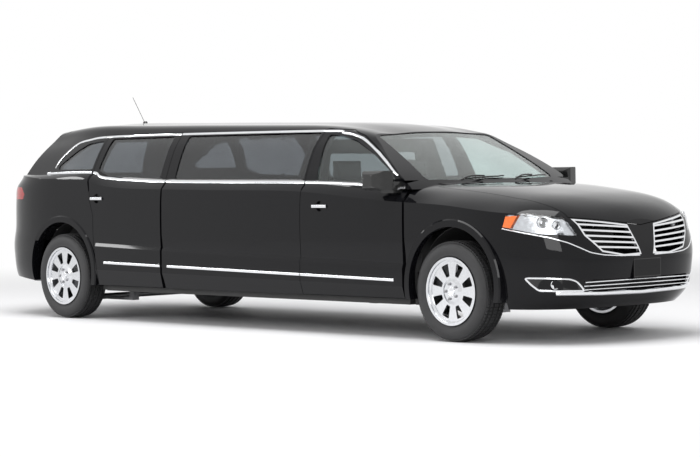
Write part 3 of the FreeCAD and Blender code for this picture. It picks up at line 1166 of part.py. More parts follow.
def rear_suspension():
    """The rear beam with its trailing arms, uprights, discs and stub axles."""
    beam_z = FLOOR_Z - 2 * PIPE_RADIUS - BEAM_GAP - TUBE_RADIUS
    pieces = [disc(Vector(REAR_AXLE_X, -STEER_Y, beam_z), TUBE_RADIUS, 2 * STEER_Y, Vector(0, 1, 0))]
    sides = []
    sides.append(block(REAR_AXLE_X - UPRIGHT_DEPTH, REAR_AXLE_X + UPRIGHT_DEPTH, -STEER_Y, -REAR_WELL_INNER_Y - ARM_HEIGHT,
                       beam_z - TUBE_RADIUS, AXLE_Z + UPRIGHT_WIDTH))
    sides.append(disc(Vector(REAR_AXLE_X, -STEER_Y, AXLE_Z), DISC_RADIUS, DISC_THICKNESS, Vector(0, -1, 0)))
    sides.append(disc(Vector(REAR_AXLE_X, -STEER_Y + UPRIGHT_DEPTH / 2, AXLE_Z), STUB_RADIUS,
                      HUB_OUTER_Y - STEER_Y + UPRIGHT_DEPTH / 2, Vector(0, -1, 0)))
    arm_x = REAR_ARCH_X + LIP_RADIUS
    sides.append(block(REAR_AXLE_X, arm_x + ARM_WIDTH, -STRUT_Y, -STRUT_Y + ARM_WIDTH, beam_z - ARM_HEIGHT / 2,
                       beam_z + ARM_HEIGHT / 2))
    sides.append(block(arm_x, arm_x + ARM_WIDTH, -STRUT_Y, -STRUT_Y + ARM_WIDTH, beam_z - ARM_HEIGHT / 2, FLOOR_Z))
    pieces += sides + [across(side) for side in sides]
    return fused(pieces)


# The exhaust
PIPE_RADIUS = 28.0
PIPE_Y = 180.0
MUFFLER_LENGTH = 260.0
MUFFLER_WIDTH = 1000.0
MUFFLER_HEIGHT = 130.0
TAILPIPE_RADIUS = 36.0
PIPE_START_SHARE = -0.14
MUFFLER_SHARE = -1.36


def exhaust():
    """The exhaust: a pipe under the floor, a muffler across the tail and two outlets."""
    pipe_z = FLOOR_Z - PIPE_RADIUS
    muffler_x = station(MUFFLER_SHARE)
    muffler_top = BOOT_FLOOR_Z
    pipe = disc(Vector(muffler_x, -PIPE_Y, pipe_z), PIPE_RADIUS, station(PIPE_START_SHARE) - muffler_x, Vector(1, 0, 0))
    drop = block(muffler_x - PIPE_RADIUS, muffler_x, -PIPE_Y - PIPE_RADIUS, -PIPE_Y + PIPE_RADIUS, pipe_z - PIPE_RADIUS,
                 muffler_top - MUFFLER_HEIGHT + PIPE_RADIUS)
    box = block(muffler_x - MUFFLER_LENGTH, muffler_x, -MUFFLER_WIDTH / 2, MUFFLER_WIDTH / 2,
                muffler_top - MUFFLER_HEIGHT, muffler_top)
    box = box.makeFillet(MUFFLER_HEIGHT * 0.3, [e for e in box.Edges if abs(e.Length - MUFFLER_WIDTH) < SEAT_GAP])
    outlets = []
    for side in (-1, 1):
        start = Vector(muffler_x - MUFFLER_LENGTH * 0.9, side * MUFFLER_WIDTH * 0.42, muffler_top - MUFFLER_HEIGHT * 0.70)
        length = abs(TAIL_X - start.x) - OVERRUN
        tube = disc(start, TAILPIPE_RADIUS, length, Vector(-1, 0, 0))
        outlets.append(tube.cut(disc(start + Vector(-length * 0.4, 0, 0), TAILPIPE_RADIUS * 0.9, length, Vector(-1, 0, 0))))
    return fused([pipe, drop, box] + outlets)


# Wheels
TYRE_SHOULDER = 22.0
TYRE_BELLY = 60.0
BEAD_WIDTH = TYRE_WIDTH * 0.88


def wheel_profile(points, centre_x):
    """A ring turned about a right wheel's axle, from (distance outboard of the wheel's middle, radius) points."""
    return turned(points, Vector(centre_x, -HALF_TRACK, AXLE_Z), Vector(0, -1, 0))


def tyre(centre_x):
    """A right tyre: flat tread, rounded shoulders and bellied walls down to the rim."""
    half = TYRE_WIDTH / 2
    bead = BEAD_WIDTH / 2
    points = [(-bead, BEAD_RADIUS + SEAT_GAP), (bead, BEAD_RADIUS + SEAT_GAP), (bead, RIM_RADIUS + SEAT_GAP),
              (half, BEAD_RADIUS + TYRE_BELLY),
              (half - TYRE_SHOULDER / 2, TYRE_RADIUS - TYRE_SHOULDER), (half - 2 * TYRE_SHOULDER, TYRE_RADIUS),
              (-half + 2 * TYRE_SHOULDER, TYRE_RADIUS), (-half + TYRE_SHOULDER / 2, TYRE_RADIUS - TYRE_SHOULDER),
              (-half, BEAD_RADIUS + TYRE_BELLY), (-bead, RIM_RADIUS + SEAT_GAP)]
    return wheel_profile(points, centre_x)


RIM_WALL = 9.0
FACE_OFFSET = TYRE_WIDTH * 0.30
FACE_THICKNESS = 30.0
FACE_DISH = 12.0
SPOKE_COUNT = 8
OPENING_INNER_RADIUS = 112.0
OPENING_OUTER_RADIUS = 204.0
OPENING_INNER_WIDTH = 34.0
OPENING_OUTER_WIDTH = 74.0
OPENING_CORNER = 9.0
SPOKE_FLAT_START = 96.0
SPOKE_FLAT_END = 218.0
HUB_CAP_RADIUS = 72.0


def rim(centre_x):
    """A right rim: a barrel with flanges, a dished face with tapered openings and a hub bored for the stub."""
    bead = BEAD_WIDTH / 2
    inner_radius = BEAD_RADIUS - RIM_WALL
    joined_radius = BEAD_RADIUS - RIM_WALL / 2
    barrel = wheel_profile([(-bead - RIM_WALL, RIM_RADIUS), (-bead - SEAT_GAP, RIM_RADIUS), (-bead - SEAT_GAP, BEAD_RADIUS),
                            (bead + SEAT_GAP, BEAD_RADIUS), (bead + SEAT_GAP, RIM_RADIUS), (bead + RIM_WALL, RIM_RADIUS),
                            (bead + RIM_WALL, inner_radius), (-bead - RIM_WALL, inner_radius)], centre_x)
    front = FACE_OFFSET + FACE_THICKNESS
    dished = front - FACE_DISH
    hub_back = OVERRUN / 2
    seat = HUB_OUTER_Y + SEAT_GAP - HALF_TRACK
    face = wheel_profile([(hub_back, HUB_RADIUS), (seat, HUB_RADIUS), (seat, 0), (front, 0), (front, HUB_CAP_RADIUS),
                          (dished, SPOKE_FLAT_START), (dished, SPOKE_FLAT_END), (front, joined_radius),
                          (FACE_OFFSET, joined_radius), (FACE_OFFSET, HUB_CAP_RADIUS), (hub_back, HUB_CAP_RADIUS)],
                         centre_x)
    corners = [(OPENING_INNER_WIDTH / 2, OPENING_INNER_RADIUS), (OPENING_OUTER_WIDTH / 2, OPENING_OUTER_RADIUS),
               (-OPENING_OUTER_WIDTH / 2, OPENING_OUTER_RADIUS), (-OPENING_INNER_WIDTH / 2, OPENING_INNER_RADIUS)]
    wire = loop([Vector(x, -HALF_TRACK, z) for x, z in corners], OPENING_CORNER)
    opening = Part.Face(wire).extrude(Vector(0, -TYRE_WIDTH, 0))
    for k in range(SPOKE_COUNT):
        cutter = opening.copy()
        cutter.rotate(Vector(0, 0, 0), Vector(0, 1, 0), 360 / SPOKE_COUNT * (k + 0.5))
        cutter.translate(Vector(centre_x, 0, AXLE_Z))
        face = face.cut(cutter)
    return barrel.fuse(face)


# The inside
DASH_SHARES = [(-0.0780, 0.610), (-0.0780, 0.365), (-0.130, 0.365), (-0.170, 0.430), (-0.188, 0.520), (-0.182, 0.585),
               (-0.130, 0.622)]
DASH_HALF_WIDTH = 720.0
DRIVER_Y = 370.0
WHEEL_TILT = 25.0
STEERING_RADIUS = 185.0
STEERING_SECTION = 14.0
STEERING_CENTRE_SHARES = (-0.222, 0.600)
COLUMN_RADIUS = 28.0
SEAT_WIDTH = 520.0
CUSHION_SHARES = [(-0.222, 0.330), (-0.222, 0.395), (-0.310, 0.385), (-0.310, 0.320)]
BACK_SHARES = [(-0.306, 0.385), (-0.343, 0.705), (-0.362, 0.705), (-0.340, 0.330), (-0.3105, 0.320)]
HEADREST_SHARES = [(-0.345, 0.720), (-0.347, 0.800), (-0.362, 0.800), (-0.366, 0.715)]
SEAT_BASE_SHARES = [(-0.235, 0.1738), (-0.235, 0.330), (-0.330, 0.322), (-0.330, 0.1738)]
PARTITION_SHARE = -0.376
PARTITION_THICKNESS = 30.0
PARTITION_SHARES = [(0.7745, 0.1738), (0.7745, 0.2474), (0.872, 0.2474), (0.872, 0.685), (0.700, 0.885), (-0.700, 0.885),
                    (-0.872, 0.685), (-0.872, 0.2474), (-0.7745, 0.2474), (-0.7745, 0.1738)]
PARTITION_WINDOW_SHARES = [(0.56, 0.640), (0.50, 0.820), (-0.50, 0.820), (-0.56, 0.640)]
BENCH_SHARES = [(-0.905, 0.1738), (-0.905, 0.330), (-1.00, 0.322), (-1.060, 0.640), (-1.110, 0.640), (-1.060, 0.1738)]
BENCH_HALF_WIDTH = 640.0
SIDE_BENCH_START_SHARE = -0.45
SIDE_BENCH_END_SHARE = -0.84
SIDE_BENCH_POINTS_SHARES = [(0.7745, 0.1738), (0.7745, 0.2474), (0.845, 0.2474), (0.845, 0.640), (0.730, 0.640),
                            (0.690, 0.325), (0.370, 0.330), (0.370, 0.1738)]


def steering_frame():
    """The steering wheel's centre and the way its column points, towards the driver."""
    tilt = math.radians(WHEEL_TILT)
    centre = Vector(station(STEERING_CENTRE_SHARES[0]), DRIVER_Y, level(STEERING_CENTRE_SHARES[1]))
    return centre, Vector(-math.cos(tilt), 0, math.sin(tilt))


def dashboard():
    """The dashboard across the car, with the steering column's shroud."""
    points = [(p[0], p[1]) for p in side_points(DASH_SHARES)]
    body = side_prism(points, -DASH_HALF_WIDTH, DASH_HALF_WIDTH)
    body = body.cut(block(station(FIREWALL_SHARE) - FIREWALL_THICKNESS - SEAT_GAP, NOSE_X, -FAR, FAR, 0, HIGH))
    centre, way = steering_frame()
    reach = abs(centre.x - station(DASH_SHARES[2][0]))
    column = disc(centre - way * (STEERING_SECTION + SEAT_GAP), COLUMN_RADIUS, reach, way * -1)
    cowl = block(station(FIREWALL_SHARE) - FIREWALL_THICKNESS, TAIL_X, -FAR, FAR, 0, BODY_HEIGHT)
    return fused([body, column.common(cowl)])


def steering_wheel():
    """The steering wheel: rim, boss and three spokes."""
    centre, way = steering_frame()
    s = STEERING_SECTION
    inner = STEERING_RADIUS - s
    rim_ring = turned([(-s, STEERING_RADIUS), (-s * 0.5, inner), (s * 0.5, inner), (s, STEERING_RADIUS),
                       (s * 0.5, STEERING_RADIUS + s), (-s * 0.5, STEERING_RADIUS + s)], centre, way)
    boss = turned([(-s, 0), (s, 0), (s, COLUMN_RADIUS * 2), (-s, COLUMN_RADIUS * 2)], centre, way)
    pieces = [rim_ring, boss]
    for angle in (90, 210, 330):
        spoke = block(0, STEERING_RADIUS, -s, s, -s / 2, s / 2)
        spoke.rotate(Vector(0, 0, 0), Vector(0, 0, 1), angle + 90)
        spoke.rotate(Vector(0, 0, 0), Vector(0, 1, 0), -math.degrees(math.pi / 2) + WHEEL_TILT)
        spoke.translate(centre)
        pieces.append(spoke)
    return fused(pieces)


def front_seat():
    """The right front seat on its base, plain and closed."""
    y0 = -DRIVER_Y - SEAT_WIDTH / 2
    y1 = -DRIVER_Y + SEAT_WIDTH / 2
    pieces = [side_prism(side_points(shares), y0, y1) for shares in (CUSHION_SHARES, BACK_SHARES)]
    pieces.append(side_prism(side_points(SEAT_BASE_SHARES), y0 + OVERRUN, y1 - OVERRUN))
    pieces.append(side_prism(side_points(HEADREST_SHARES), y0 + 2 * OVERRUN, y1 - 2 * OVERRUN))
    posts = [block(station(-0.354) - 2 * LINER_THICKNESS, station(-0.354), y, y + 2 * LINER_THICKNESS, level(0.69),
                   level(0.73)) for y in (-DRIVER_Y - OVERRUN, -DRIVER_Y + OVERRUN)]
    return fused(pieces + posts)


def partition():
    """The partition behind the front seats, with its window opening."""
    x = station(PARTITION_SHARE)
    wall = front_prism([(breadth(y), level(z)) for y, z in PARTITION_SHARES], x, x + PARTITION_THICKNESS)
    return wall.cut(front_prism([(breadth(y), level(z)) for y, z in PARTITION_WINDOW_SHARES], x - OVERRUN,
                                x + OVERRUN + PARTITION_THICKNESS, WINDOW_CORNER))


def rear_bench():
    """The rear bench between the wheel houses."""
    return side_prism(side_points(BENCH_SHARES), -BENCH_HALF_WIDTH, BENCH_HALF_WIDTH)


def side_bench():
    """The long bench along the left side."""
    points = [(breadth(y), level(z)) for y, z in SIDE_BENCH_POINTS_SHARES]
    return front_prism(points, station(SIDE_BENCH_END_SHARE), station(SIDE_BENCH_START_SHARE))


# Small outside pieces
MIRROR_PLAN_SHARES = [(-0.112, 1.020), (-0.118, 1.135), (-0.135, 1.155), (-0.160, 1.150), (-0.160, 1.010), (-0.130, 0.985)]
MIRROR_FRONT_SHARES = [(0.98, 0.662), (1.00, 0.722), (1.03, 0.738), (1.12, 0.738), (1.155, 0.722), (1.155, 0.668),
                       (1.12, 0.655), (1.02, 0.652)]
MIRROR_FOOT_SHARES = [(-0.112, 0.640), (-0.114, 0.690), (-0.140, 0.690), (-0.140, 0.640)]
ANTENNA_SHARES = (-0.999, 1.0)
ANTENNA_ROD_LENGTH = 300.0
ANTENNA_ROD_RADIUS = 2.5
ANTENNA_LEAN = 36.0


def mirror():
    """The right door mirror: a rounded housing on a short foot."""
    plan = plan_prism([(station(s), -breadth(y)) for s, y in MIRROR_PLAN_SHARES], 0, HIGH, WINDOW_CORNER)
    front = front_prism([(-breadth(y), level(z)) for y, z in MIRROR_FRONT_SHARES], 0, NOSE_X, WINDOW_CORNER)
    foot = side_prism(side_points(MIRROR_FOOT_SHARES), -breadth(1.03), -breadth(0.90))
    return biggest(less(plan.common(front).fuse(foot), [RIGHT_LOW, HOUSE]).removeSplitter())


def antenna():
    """The roof antenna: a low foot and a thin rod leaning back."""
    x = station(ANTENNA_SHARES[0])
    z = level(ANTENNA_SHARES[1])
    foot = Part.makeCone(OVERRUN / 2, OVERRUN / 4, OVERRUN / 2, Vector(x, 0, z - SEAT_GAP * 20))
    lean = math.radians(ANTENNA_LEAN)
    rod = disc(Vector(x, 0, z), ANTENNA_ROD_RADIUS, ANTENNA_ROD_LENGTH, Vector(-math.sin(lean), 0, math.cos(lean)))
    return biggest(fused([foot, rod]).cut(HOUSE.common(block(x - OVERRUN, x + OVERRUN, -OVERRUN, OVERRUN, 0, HIGH))))


def make_parts():
    """Every piece of the car, by name."""
    parts = {}
    lamp = slanted(LAMP_SHARES, LAMP_HEADING)
    band = tail_band(LAMP_DEPTH)
    parts["underbody"] = underbody()
    parts["roof_frame"] = roof_frame()
    parts["front_fenders"] = both(fender(lamp))
    parts["middle_panels"] = both(middle_panel())
    parts["quarter_panels"] = both(quarter_panel())
    parts["front_bumper"] = front_bumper(lamp)
    parts["rear_bumper"] = rear_bumper()
    parts["grille"] = both(grille())
    parts["headlamps"] = both(FRONT_SHELL.common(lamp))
    side_lamp = band.copy().common(block(TAIL_X - OVERRUN, 0, -FAR, 0, 0, BODY_HEIGHT)).cut(hatch_prism(HALF_GAP))
    parts["tail_lamps"] = both(biggest(side_lamp))
    parts["tailgate_lamp"] = biggest(band.copy().common(hatch_prism(-HALF_GAP)))
    parts["tailgate"] = tailgate(band.copy())
    parts["tailgate_glass"] = biggest(GLASS.common(rear_screen_opening()))
    parts["windscreen"] = biggest(GLASS.common(screen_opening()))
    parts["fixed_side_glass"] = Part.makeCompound([pane(shares) for shares in (MIDDLE_WINDOW_SHARES, QUARTER_WINDOW_SHARES)]
                                                  + [across(pane(shares)) for shares in
                                                     (MIDDLE_WINDOW_SHARES, QUARTER_WINDOW_SHARES)])
    parts["bonnet"] = bonnet()
    parts["engine_block"] = engine_block()
    parts["suspension"] = Part.makeCompound([front_suspension(), rear_suspension()])
    parts["exhaust"] = exhaust()
    parts["dashboard"] = dashboard()
    parts["steering_wheel"] = steering_wheel()
    parts["front_seats"] = both(front_seat())
    parts["partition"] = partition()
    parts["cabin_seats"] = Part.makeCompound([rear_bench(), side_bench()])
    parts["antenna"] = antenna()
    sided = {
        "door_front": front_door(),
        "door_front_glass": pane(FRONT_WINDOW_SHARES),
        "door_rear": rear_door(),
        "door_rear_glass": pane(REAR_WINDOW_SHARES),
        "mirror": mirror(),
        "knuckle": steering_knuckle(),
        "tyre_front": tyre(FRONT_AXLE_X),
        "rim_front": rim(FRONT_AXLE_X),
    }
    for name in ("tyre", "rim"):
        sided[name + "_rear"] = sided[name + "_front"].translated(Vector(-WHEELBASE, 0, 0))
    for name, shape in sided.items():
        parts[name + "_right"] = shape
        parts[name + "_left"] = across(shape)
    return parts


os.makedirs("parts", exist_ok=True)
for part_name, part_shape in make_parts().items():
    part_shape.exportStep("parts/" + part_name + ".step")
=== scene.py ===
# %% [markdown]
# # A black stretch limousine
# The car comes from CAD as separate panels, doors, wheels and glass, already in place and in metres.
# Its nose points to +X, its left side to +Y, and it stands on z = 0. This lesson gives each part the
# finish of the real one, and adds the thin bright trim, lamp insides, treads and padding that CAD left out.

# %% Load the CAD model
import bpy
import json
import math
from mathutils import Matrix, Vector


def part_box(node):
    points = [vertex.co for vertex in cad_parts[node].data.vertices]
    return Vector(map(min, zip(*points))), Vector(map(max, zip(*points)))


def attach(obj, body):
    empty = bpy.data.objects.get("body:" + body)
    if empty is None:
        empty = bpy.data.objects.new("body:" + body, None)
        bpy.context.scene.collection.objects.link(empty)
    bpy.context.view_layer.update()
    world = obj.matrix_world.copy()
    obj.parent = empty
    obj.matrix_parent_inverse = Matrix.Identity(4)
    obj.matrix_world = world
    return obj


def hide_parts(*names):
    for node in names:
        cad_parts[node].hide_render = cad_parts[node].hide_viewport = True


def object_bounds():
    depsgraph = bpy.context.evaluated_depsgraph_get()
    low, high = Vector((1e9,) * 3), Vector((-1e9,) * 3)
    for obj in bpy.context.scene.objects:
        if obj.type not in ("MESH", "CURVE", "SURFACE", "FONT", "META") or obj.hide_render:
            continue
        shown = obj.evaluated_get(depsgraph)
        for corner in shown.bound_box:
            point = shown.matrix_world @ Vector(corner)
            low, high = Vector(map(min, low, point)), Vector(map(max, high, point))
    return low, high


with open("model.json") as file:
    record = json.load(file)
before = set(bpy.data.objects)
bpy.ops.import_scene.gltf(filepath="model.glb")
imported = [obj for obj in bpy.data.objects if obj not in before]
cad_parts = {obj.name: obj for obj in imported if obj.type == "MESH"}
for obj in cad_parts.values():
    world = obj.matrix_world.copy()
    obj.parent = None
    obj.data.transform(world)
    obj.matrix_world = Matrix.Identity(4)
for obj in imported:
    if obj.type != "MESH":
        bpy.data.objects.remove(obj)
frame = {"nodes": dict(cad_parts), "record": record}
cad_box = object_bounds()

nodes = frame["nodes"]
for plain in list(bpy.data.materials):
    bpy.data.materials.remove(plain)
bpy.ops.object.select_all(action="DESELECT")
print(len(nodes), "CAD parts,", [round(v, 3) for v in cad_box[1] - cad_box[0]], "m over all")

# %% [markdown]
# ## Camera
# The picture was taken with a long lens from the right front, at about standing eye height. A long lens far
# away keeps the seven-metre body from looking stretched near the nose. The camera's three axes are built from
# its heading, its pitch and a slight roll.

# %% Place the camera
CAMERA_PLACE = Vector((14.3689, -12.9825, 1.3241))
HEADING, PITCH, ROLL = 2.3935142, -0.0285140, -0.0173274
FOCAL_PIXELS, PICTURE_WIDTH, SENSOR_WIDTH = 2329.18, 700, 36.0
CLIP_NEAR, CLIP_FAR = 0.1, 300


def camera_turn(heading, pitch, roll):
    """The camera's rotation matrix from three angles in radians."""
    ahead = Vector((math.cos(pitch) * math.cos(heading), math.cos(pitch) * math.sin(heading), math.sin(pitch)))
    level_right = Vector((math.sin(heading), -math.cos(heading), 0))
    level_up = level_right.cross(ahead)
    right = math.cos(roll) * level_right + math.sin(roll) * level_up
    up = math.cos(roll) * level_up - math.sin(roll) * level_right
    return Matrix((right, up, -ahead)).transposed()


bpy.ops.object.camera_add(location=CAMERA_PLACE)
camera = bpy.context.object
camera.rotation_euler = camera_turn(HEADING, PITCH, ROLL).to_euler()
camera.data.sensor_width = SENSOR_WIDTH
camera.data.lens = FOCAL_PIXELS / PICTURE_WIDTH * SENSOR_WIDTH
camera.data.clip_start, camera.data.clip_end = CLIP_NEAR, CLIP_FAR
bpy.context.scene.camera = camera
print("camera", round(camera.data.lens, 1), "mm lens")

# %% [markdown]
# ## Studio
# Gloss black paint shows little of its own colour: what the eye reads is what it mirrors. A pale floor, a plain
# white surround and broad soft lamps give long clean reflections, and the floor keeps a soft shadow.

# %% Floor, surround and lamps
FLOOR_SIZE, FLOOR_DROP, FLOOR_COLOUR = 120.0, 0.0005, (0.80, 0.80, 0.81)
FLOOR_ROUGHNESS, FLOOR_SHINE = 0.6, 0.1
FADE_START, FADE_END = 5.0, 13.0
SURROUND_LIGHT, SURROUND_SEEN = 0.55, 1.0
SIDE_LAMP_HEIGHT = 0.9

bpy.ops.mesh.primitive_plane_add(size=FLOOR_SIZE, location=(0, 0, -FLOOR_DROP))
floor = bpy.context.object
floor.name = "studio_floor"


def seen_directly(tree):
    """1 for a ray from the camera, off metal or through glass, otherwise 0."""
    path = tree.nodes.new("ShaderNodeLightPath")
    first = tree.nodes.new("ShaderNodeMath")
    first.operation = "MAXIMUM"
    tree.links.new(path.outputs["Is Camera Ray"], first.inputs[0])
    tree.links.new(path.outputs["Is Glossy Ray"], first.inputs[1])
    second = tree.nodes.new("ShaderNodeMath")
    second.operation = "MAXIMUM"
    tree.links.new(first.outputs[0], second.inputs[0])
    tree.links.new(path.outputs["Is Transmission Ray"], second.inputs[1])
    return second.outputs[0]


world = bpy.data.worlds.new("plain_surround")
bpy.context.scene.world = world
world.use_nodes = True
tree = world.node_tree
surround = tree.nodes["Background"]
surround.inputs["Color"].default_value = (1, 1, 1, 1)
strength = tree.nodes.new("ShaderNodeMapRange")
strength.inputs["To Min"].default_value = SURROUND_LIGHT
strength.inputs["To Max"].default_value = SURROUND_SEEN
tree.links.new(seen_directly(tree), strength.inputs["Value"])
tree.links.new(strength.outputs[0], surround.inputs["Strength"])

bpy.context.scene.view_settings.view_transform = "Standard"

floor_finish = bpy.data.materials.new("pale_floor")
floor_finish.use_nodes = True
tree = floor_finish.node_tree
floor_shader = tree.nodes["Principled BSDF"]
floor_shader.inputs["Base Color"].default_value = FLOOR_COLOUR + (1,)
floor_shader.inputs["Roughness"].default_value = FLOOR_ROUGHNESS
floor_shader.inputs["Specular IOR Level"].default_value = FLOOR_SHINE
place = tree.nodes.new("ShaderNodeTexCoord")
distance = tree.nodes.new("ShaderNodeVectorMath")
distance.operation = "LENGTH"
tree.links.new(place.outputs["Object"], distance.inputs[0])
fade = tree.nodes.new("ShaderNodeMapRange")
fade.interpolation_type = "SMOOTHSTEP"
fade.inputs["From Min"].default_value = FADE_START
fade.inputs["From Max"].default_value = FADE_END
tree.links.new(distance.outputs["Value"], fade.inputs["Value"])
white = tree.nodes.new("ShaderNodeEmission")
share = tree.nodes.new("ShaderNodeMath")
share.operation = "MULTIPLY"
tree.links.new(fade.outputs[0], share.inputs[0])
tree.links.new(seen_directly(tree), share.inputs[1])
blend = tree.nodes.new("ShaderNodeMixShader")
tree.links.new(share.outputs[0], blend.inputs[0])
tree.links.new(floor_shader.outputs[0], blend.inputs[1])
tree.links.new(white.outputs[0], blend.inputs[2])
tree.links.new(blend.outputs[0], tree.nodes["Material Output"].inputs["Surface"])
floor.data.materials.append(floor_finish)


def soft_lamp(name, place, target, size, watts):
    """A broad square lamp at a place, facing a target."""
    bpy.ops.object.light_add(type="AREA", location=place)
    lamp = bpy.context.object
    lamp.name = name
    lamp.data.size = size
    lamp.data.energy = watts
    lamp.rotation_euler = (Vector(target) - Vector(place)).to_track_quat("-Z", "Y").to_euler()
    return lamp


soft_lamp("top_lamp", (1.0, -2.0, 9.0), (0, 0, 0.8), 8.0, 900)
soft_lamp("nose_lamp", (11.0, -9.0, 5.0), (1.5, 0, 0.8), 5.0, 400)
side_lamp = soft_lamp("side_lamp", (-8.0, -9.5, 4.2), (0, -1, 0.9), 12.0, 420)
side_lamp.data.shape = "RECTANGLE"
side_lamp.data.size_y = SIDE_LAMP_HEIGHT
print("studio ready")

# %% [markdown]
# ## Finishes
# Each finish is built from the same few parts: a Principled shader, a soft noise that varies both its colour and
# its gloss, and a fine noise for its bump. The noise reads object coordinates, so it stays on the part when the
# part moves. Other settings that never vary sit on the shader itself.

# %% A helper for finishes
TINT_LOW, TINT_HIGH = 0.3, 0.7
NOISE_DETAIL = 4


def finish(name, colour, roughness, metal=0.0, vary=0.08, uneven=0.04, grain=30.0, bump=0.0, bump_grain=400.0, **extra):
    """A named material whose colour varies by a share, its roughness by an amount, with a fine bump."""
    material = bpy.data.materials.new(name)
    material.use_nodes = True
    tree = material.node_tree
    shader = tree.nodes["Principled BSDF"]
    shader.inputs["Metallic"].default_value = metal
    for socket, value in extra.items():
        shader.inputs[socket.replace("_", " ")].default_value = value
    place = tree.nodes.new("ShaderNodeTexCoord")
    patches = tree.nodes.new("ShaderNodeTexNoise")
    patches.inputs["Scale"].default_value = grain
    patches.inputs["Detail"].default_value = NOISE_DETAIL
    tree.links.new(place.outputs["Object"], patches.inputs["Vector"])
    tint = tree.nodes.new("ShaderNodeValToRGB")
    tint.name = "tint"
    tint.color_ramp.elements[0].position = TINT_LOW
    tint.color_ramp.elements[1].position = TINT_HIGH
    tint.color_ramp.elements[0].color = tuple(c * (1 - vary) for c in colour) + (1,)
    tint.color_ramp.elements[1].color = tuple(min(1, c * (1 + vary)) for c in colour) + (1,)
    tree.links.new(patches.outputs["Fac"], tint.inputs["Fac"])
    tree.links.new(tint.outputs["Color"], shader.inputs["Base Color"])
    gloss = tree.nodes.new("ShaderNodeMapRange")
    gloss.name = "gloss"
    gloss.inputs["To Min"].default_value = max(0.0, roughness - uneven)
    gloss.inputs["To Max"].default_value = roughness + uneven
    tree.links.new(patches.outputs["Fac"], gloss.inputs["Value"])
    tree.links.new(gloss.outputs[0], shader.inputs["Roughness"])
    if bump:
        grains = tree.nodes.new("ShaderNodeTexNoise")
        grains.inputs["Scale"].default_value = bump_grain
        tree.links.new(place.outputs["Object"], grains.inputs["Vector"])
        raised = tree.nodes.new("ShaderNodeBump")
        raised.inputs["Strength"].default_value = 1.0
        raised.inputs["Distance"].default_value = bump
        tree.links.new(grains.outputs["Fac"], raised.inputs["Height"])
        tree.links.new(raised.outputs["Normal"], shader.inputs["Normal"])


# %% [markdown]
# The paint is a near-black base under a clear coat. Real black paint has faint flake and a barely visible
# orange-peel skin, so the colour noise is very fine and the gloss hardly varies. Chrome is nearly a mirror, with
# a little haze where it was wiped.

# %% Paint, bright metal and dull metal
finish("black_paint", (0.004, 0.004, 0.005), 0.04, vary=0.30, uneven=0.012, grain=900, Specular_IOR_Level=0.22)
finish("chrome", (0.80, 0.81, 0.83), 0.07, metal=1, vary=0.03, uneven=0.03, grain=25)
finish("wheel_metal", (0.66, 0.67, 0.69), 0.20, metal=1, vary=0.05, uneven=0.06, grain=60)
finish("steel", (0.30, 0.30, 0.31), 0.42, metal=1, vary=0.25, uneven=0.10, grain=18, bump=0.0003, bump_grain=260)
finish("cast_metal", (0.10, 0.10, 0.10), 0.62, metal=0.6, vary=0.30, uneven=0.10, grain=14, bump=0.0006,
       bump_grain=180)
finish("underside", (0.022, 0.022, 0.022), 0.70, vary=0.30, uneven=0.10, grain=9, bump=0.0006, bump_grain=150)

# %% [markdown]
# Plastics and rubber are told apart by their grain: moulded trim has a fine leather-like skin, gloss plastic has
# none, and rubber is dull and slightly grey where it has flexed.

# %% Plastics, rubber and leather
finish("black_plastic", (0.012, 0.012, 0.012), 0.16, vary=0.15, uneven=0.04, grain=40)
finish("dark_trim", (0.028, 0.028, 0.029), 0.55, vary=0.15, uneven=0.06, grain=20, bump=0.0003, bump_grain=600)
finish("tyre_rubber", (0.020, 0.020, 0.021), 0.62, vary=0.22, uneven=0.08, grain=16, bump=0.0003, bump_grain=500)
finish("seat_leather", (0.030, 0.030, 0.032), 0.44, vary=0.25, uneven=0.06, grain=14, bump=0.0007, bump_grain=300,
       Sheen_Weight=0.08)

# %% [markdown]
# Each window is a real pane five millimetres thick, so light crosses two faces. The tint on one face is therefore
# lighter than the glass looks. The rear glass is a dark privacy tint, the front doors are lighter, and the
# windscreen is a pale green.

# %% Glass and lenses
GLASS_HAZE, GLASS_IOR = 0.004, 1.5


def glass(name, colour, rough=0.0, grain=3.0, through=1.0):
    """See-through glass with a faint change of tint over its width."""
    finish(name, colour, rough + GLASS_HAZE, vary=0.05, uneven=GLASS_HAZE, grain=grain, Transmission_Weight=through,
           IOR=GLASS_IOR)


glass("dark_glass", (0.28, 0.30, 0.32))
glass("clear_glass", (0.52, 0.60, 0.60))
glass("screen_glass", (0.80, 0.90, 0.87))
glass("lamp_glass", (0.96, 0.97, 0.98))
glass("red_lens", (0.55, 0.012, 0.012), rough=0.05, grain=30, through=0.55)
print(len(bpy.data.materials), "finishes")

# %% [markdown]
# ## Where each finish goes
# The record names a material slot for every CAD part, and the finishes carry the same names. The CAD meshes keep
# their shape and get a finish only.

# %% Give each CAD part its finish
for part in frame["record"]["subparts"]:
    solid = nodes[part["node"]]
    solid.data.materials.clear()
    solid.data.materials.append(bpy.data.materials[part["material_slot"]])
print("finishes on", len(nodes), "parts")

# %% [markdown]
# ## Bright strips along the side
# The real car has a thin polished moulding under the windows, another over them, and one low on the doors. Each
# follows the curved panels, and is cut wherever a door opens. A strip starts here as a flat grid laid along its
# line, is pressed on to the panels from the side, and then gets its thickness and soft edges from modifiers.

# %% Helpers: one object at a time, and a thin piece pressed on to a surface
SMOOTH_ANGLE = 35
OUTSIDE = 3.0
MERGE_DISTANCE = 0.00002
STRIP_ROWS, STRIP_SINK, SMOOTH_REACH = 3, 0.001, 4
EDGE_SHARE, EDGE_ANGLE = 0.35, math.radians(50)


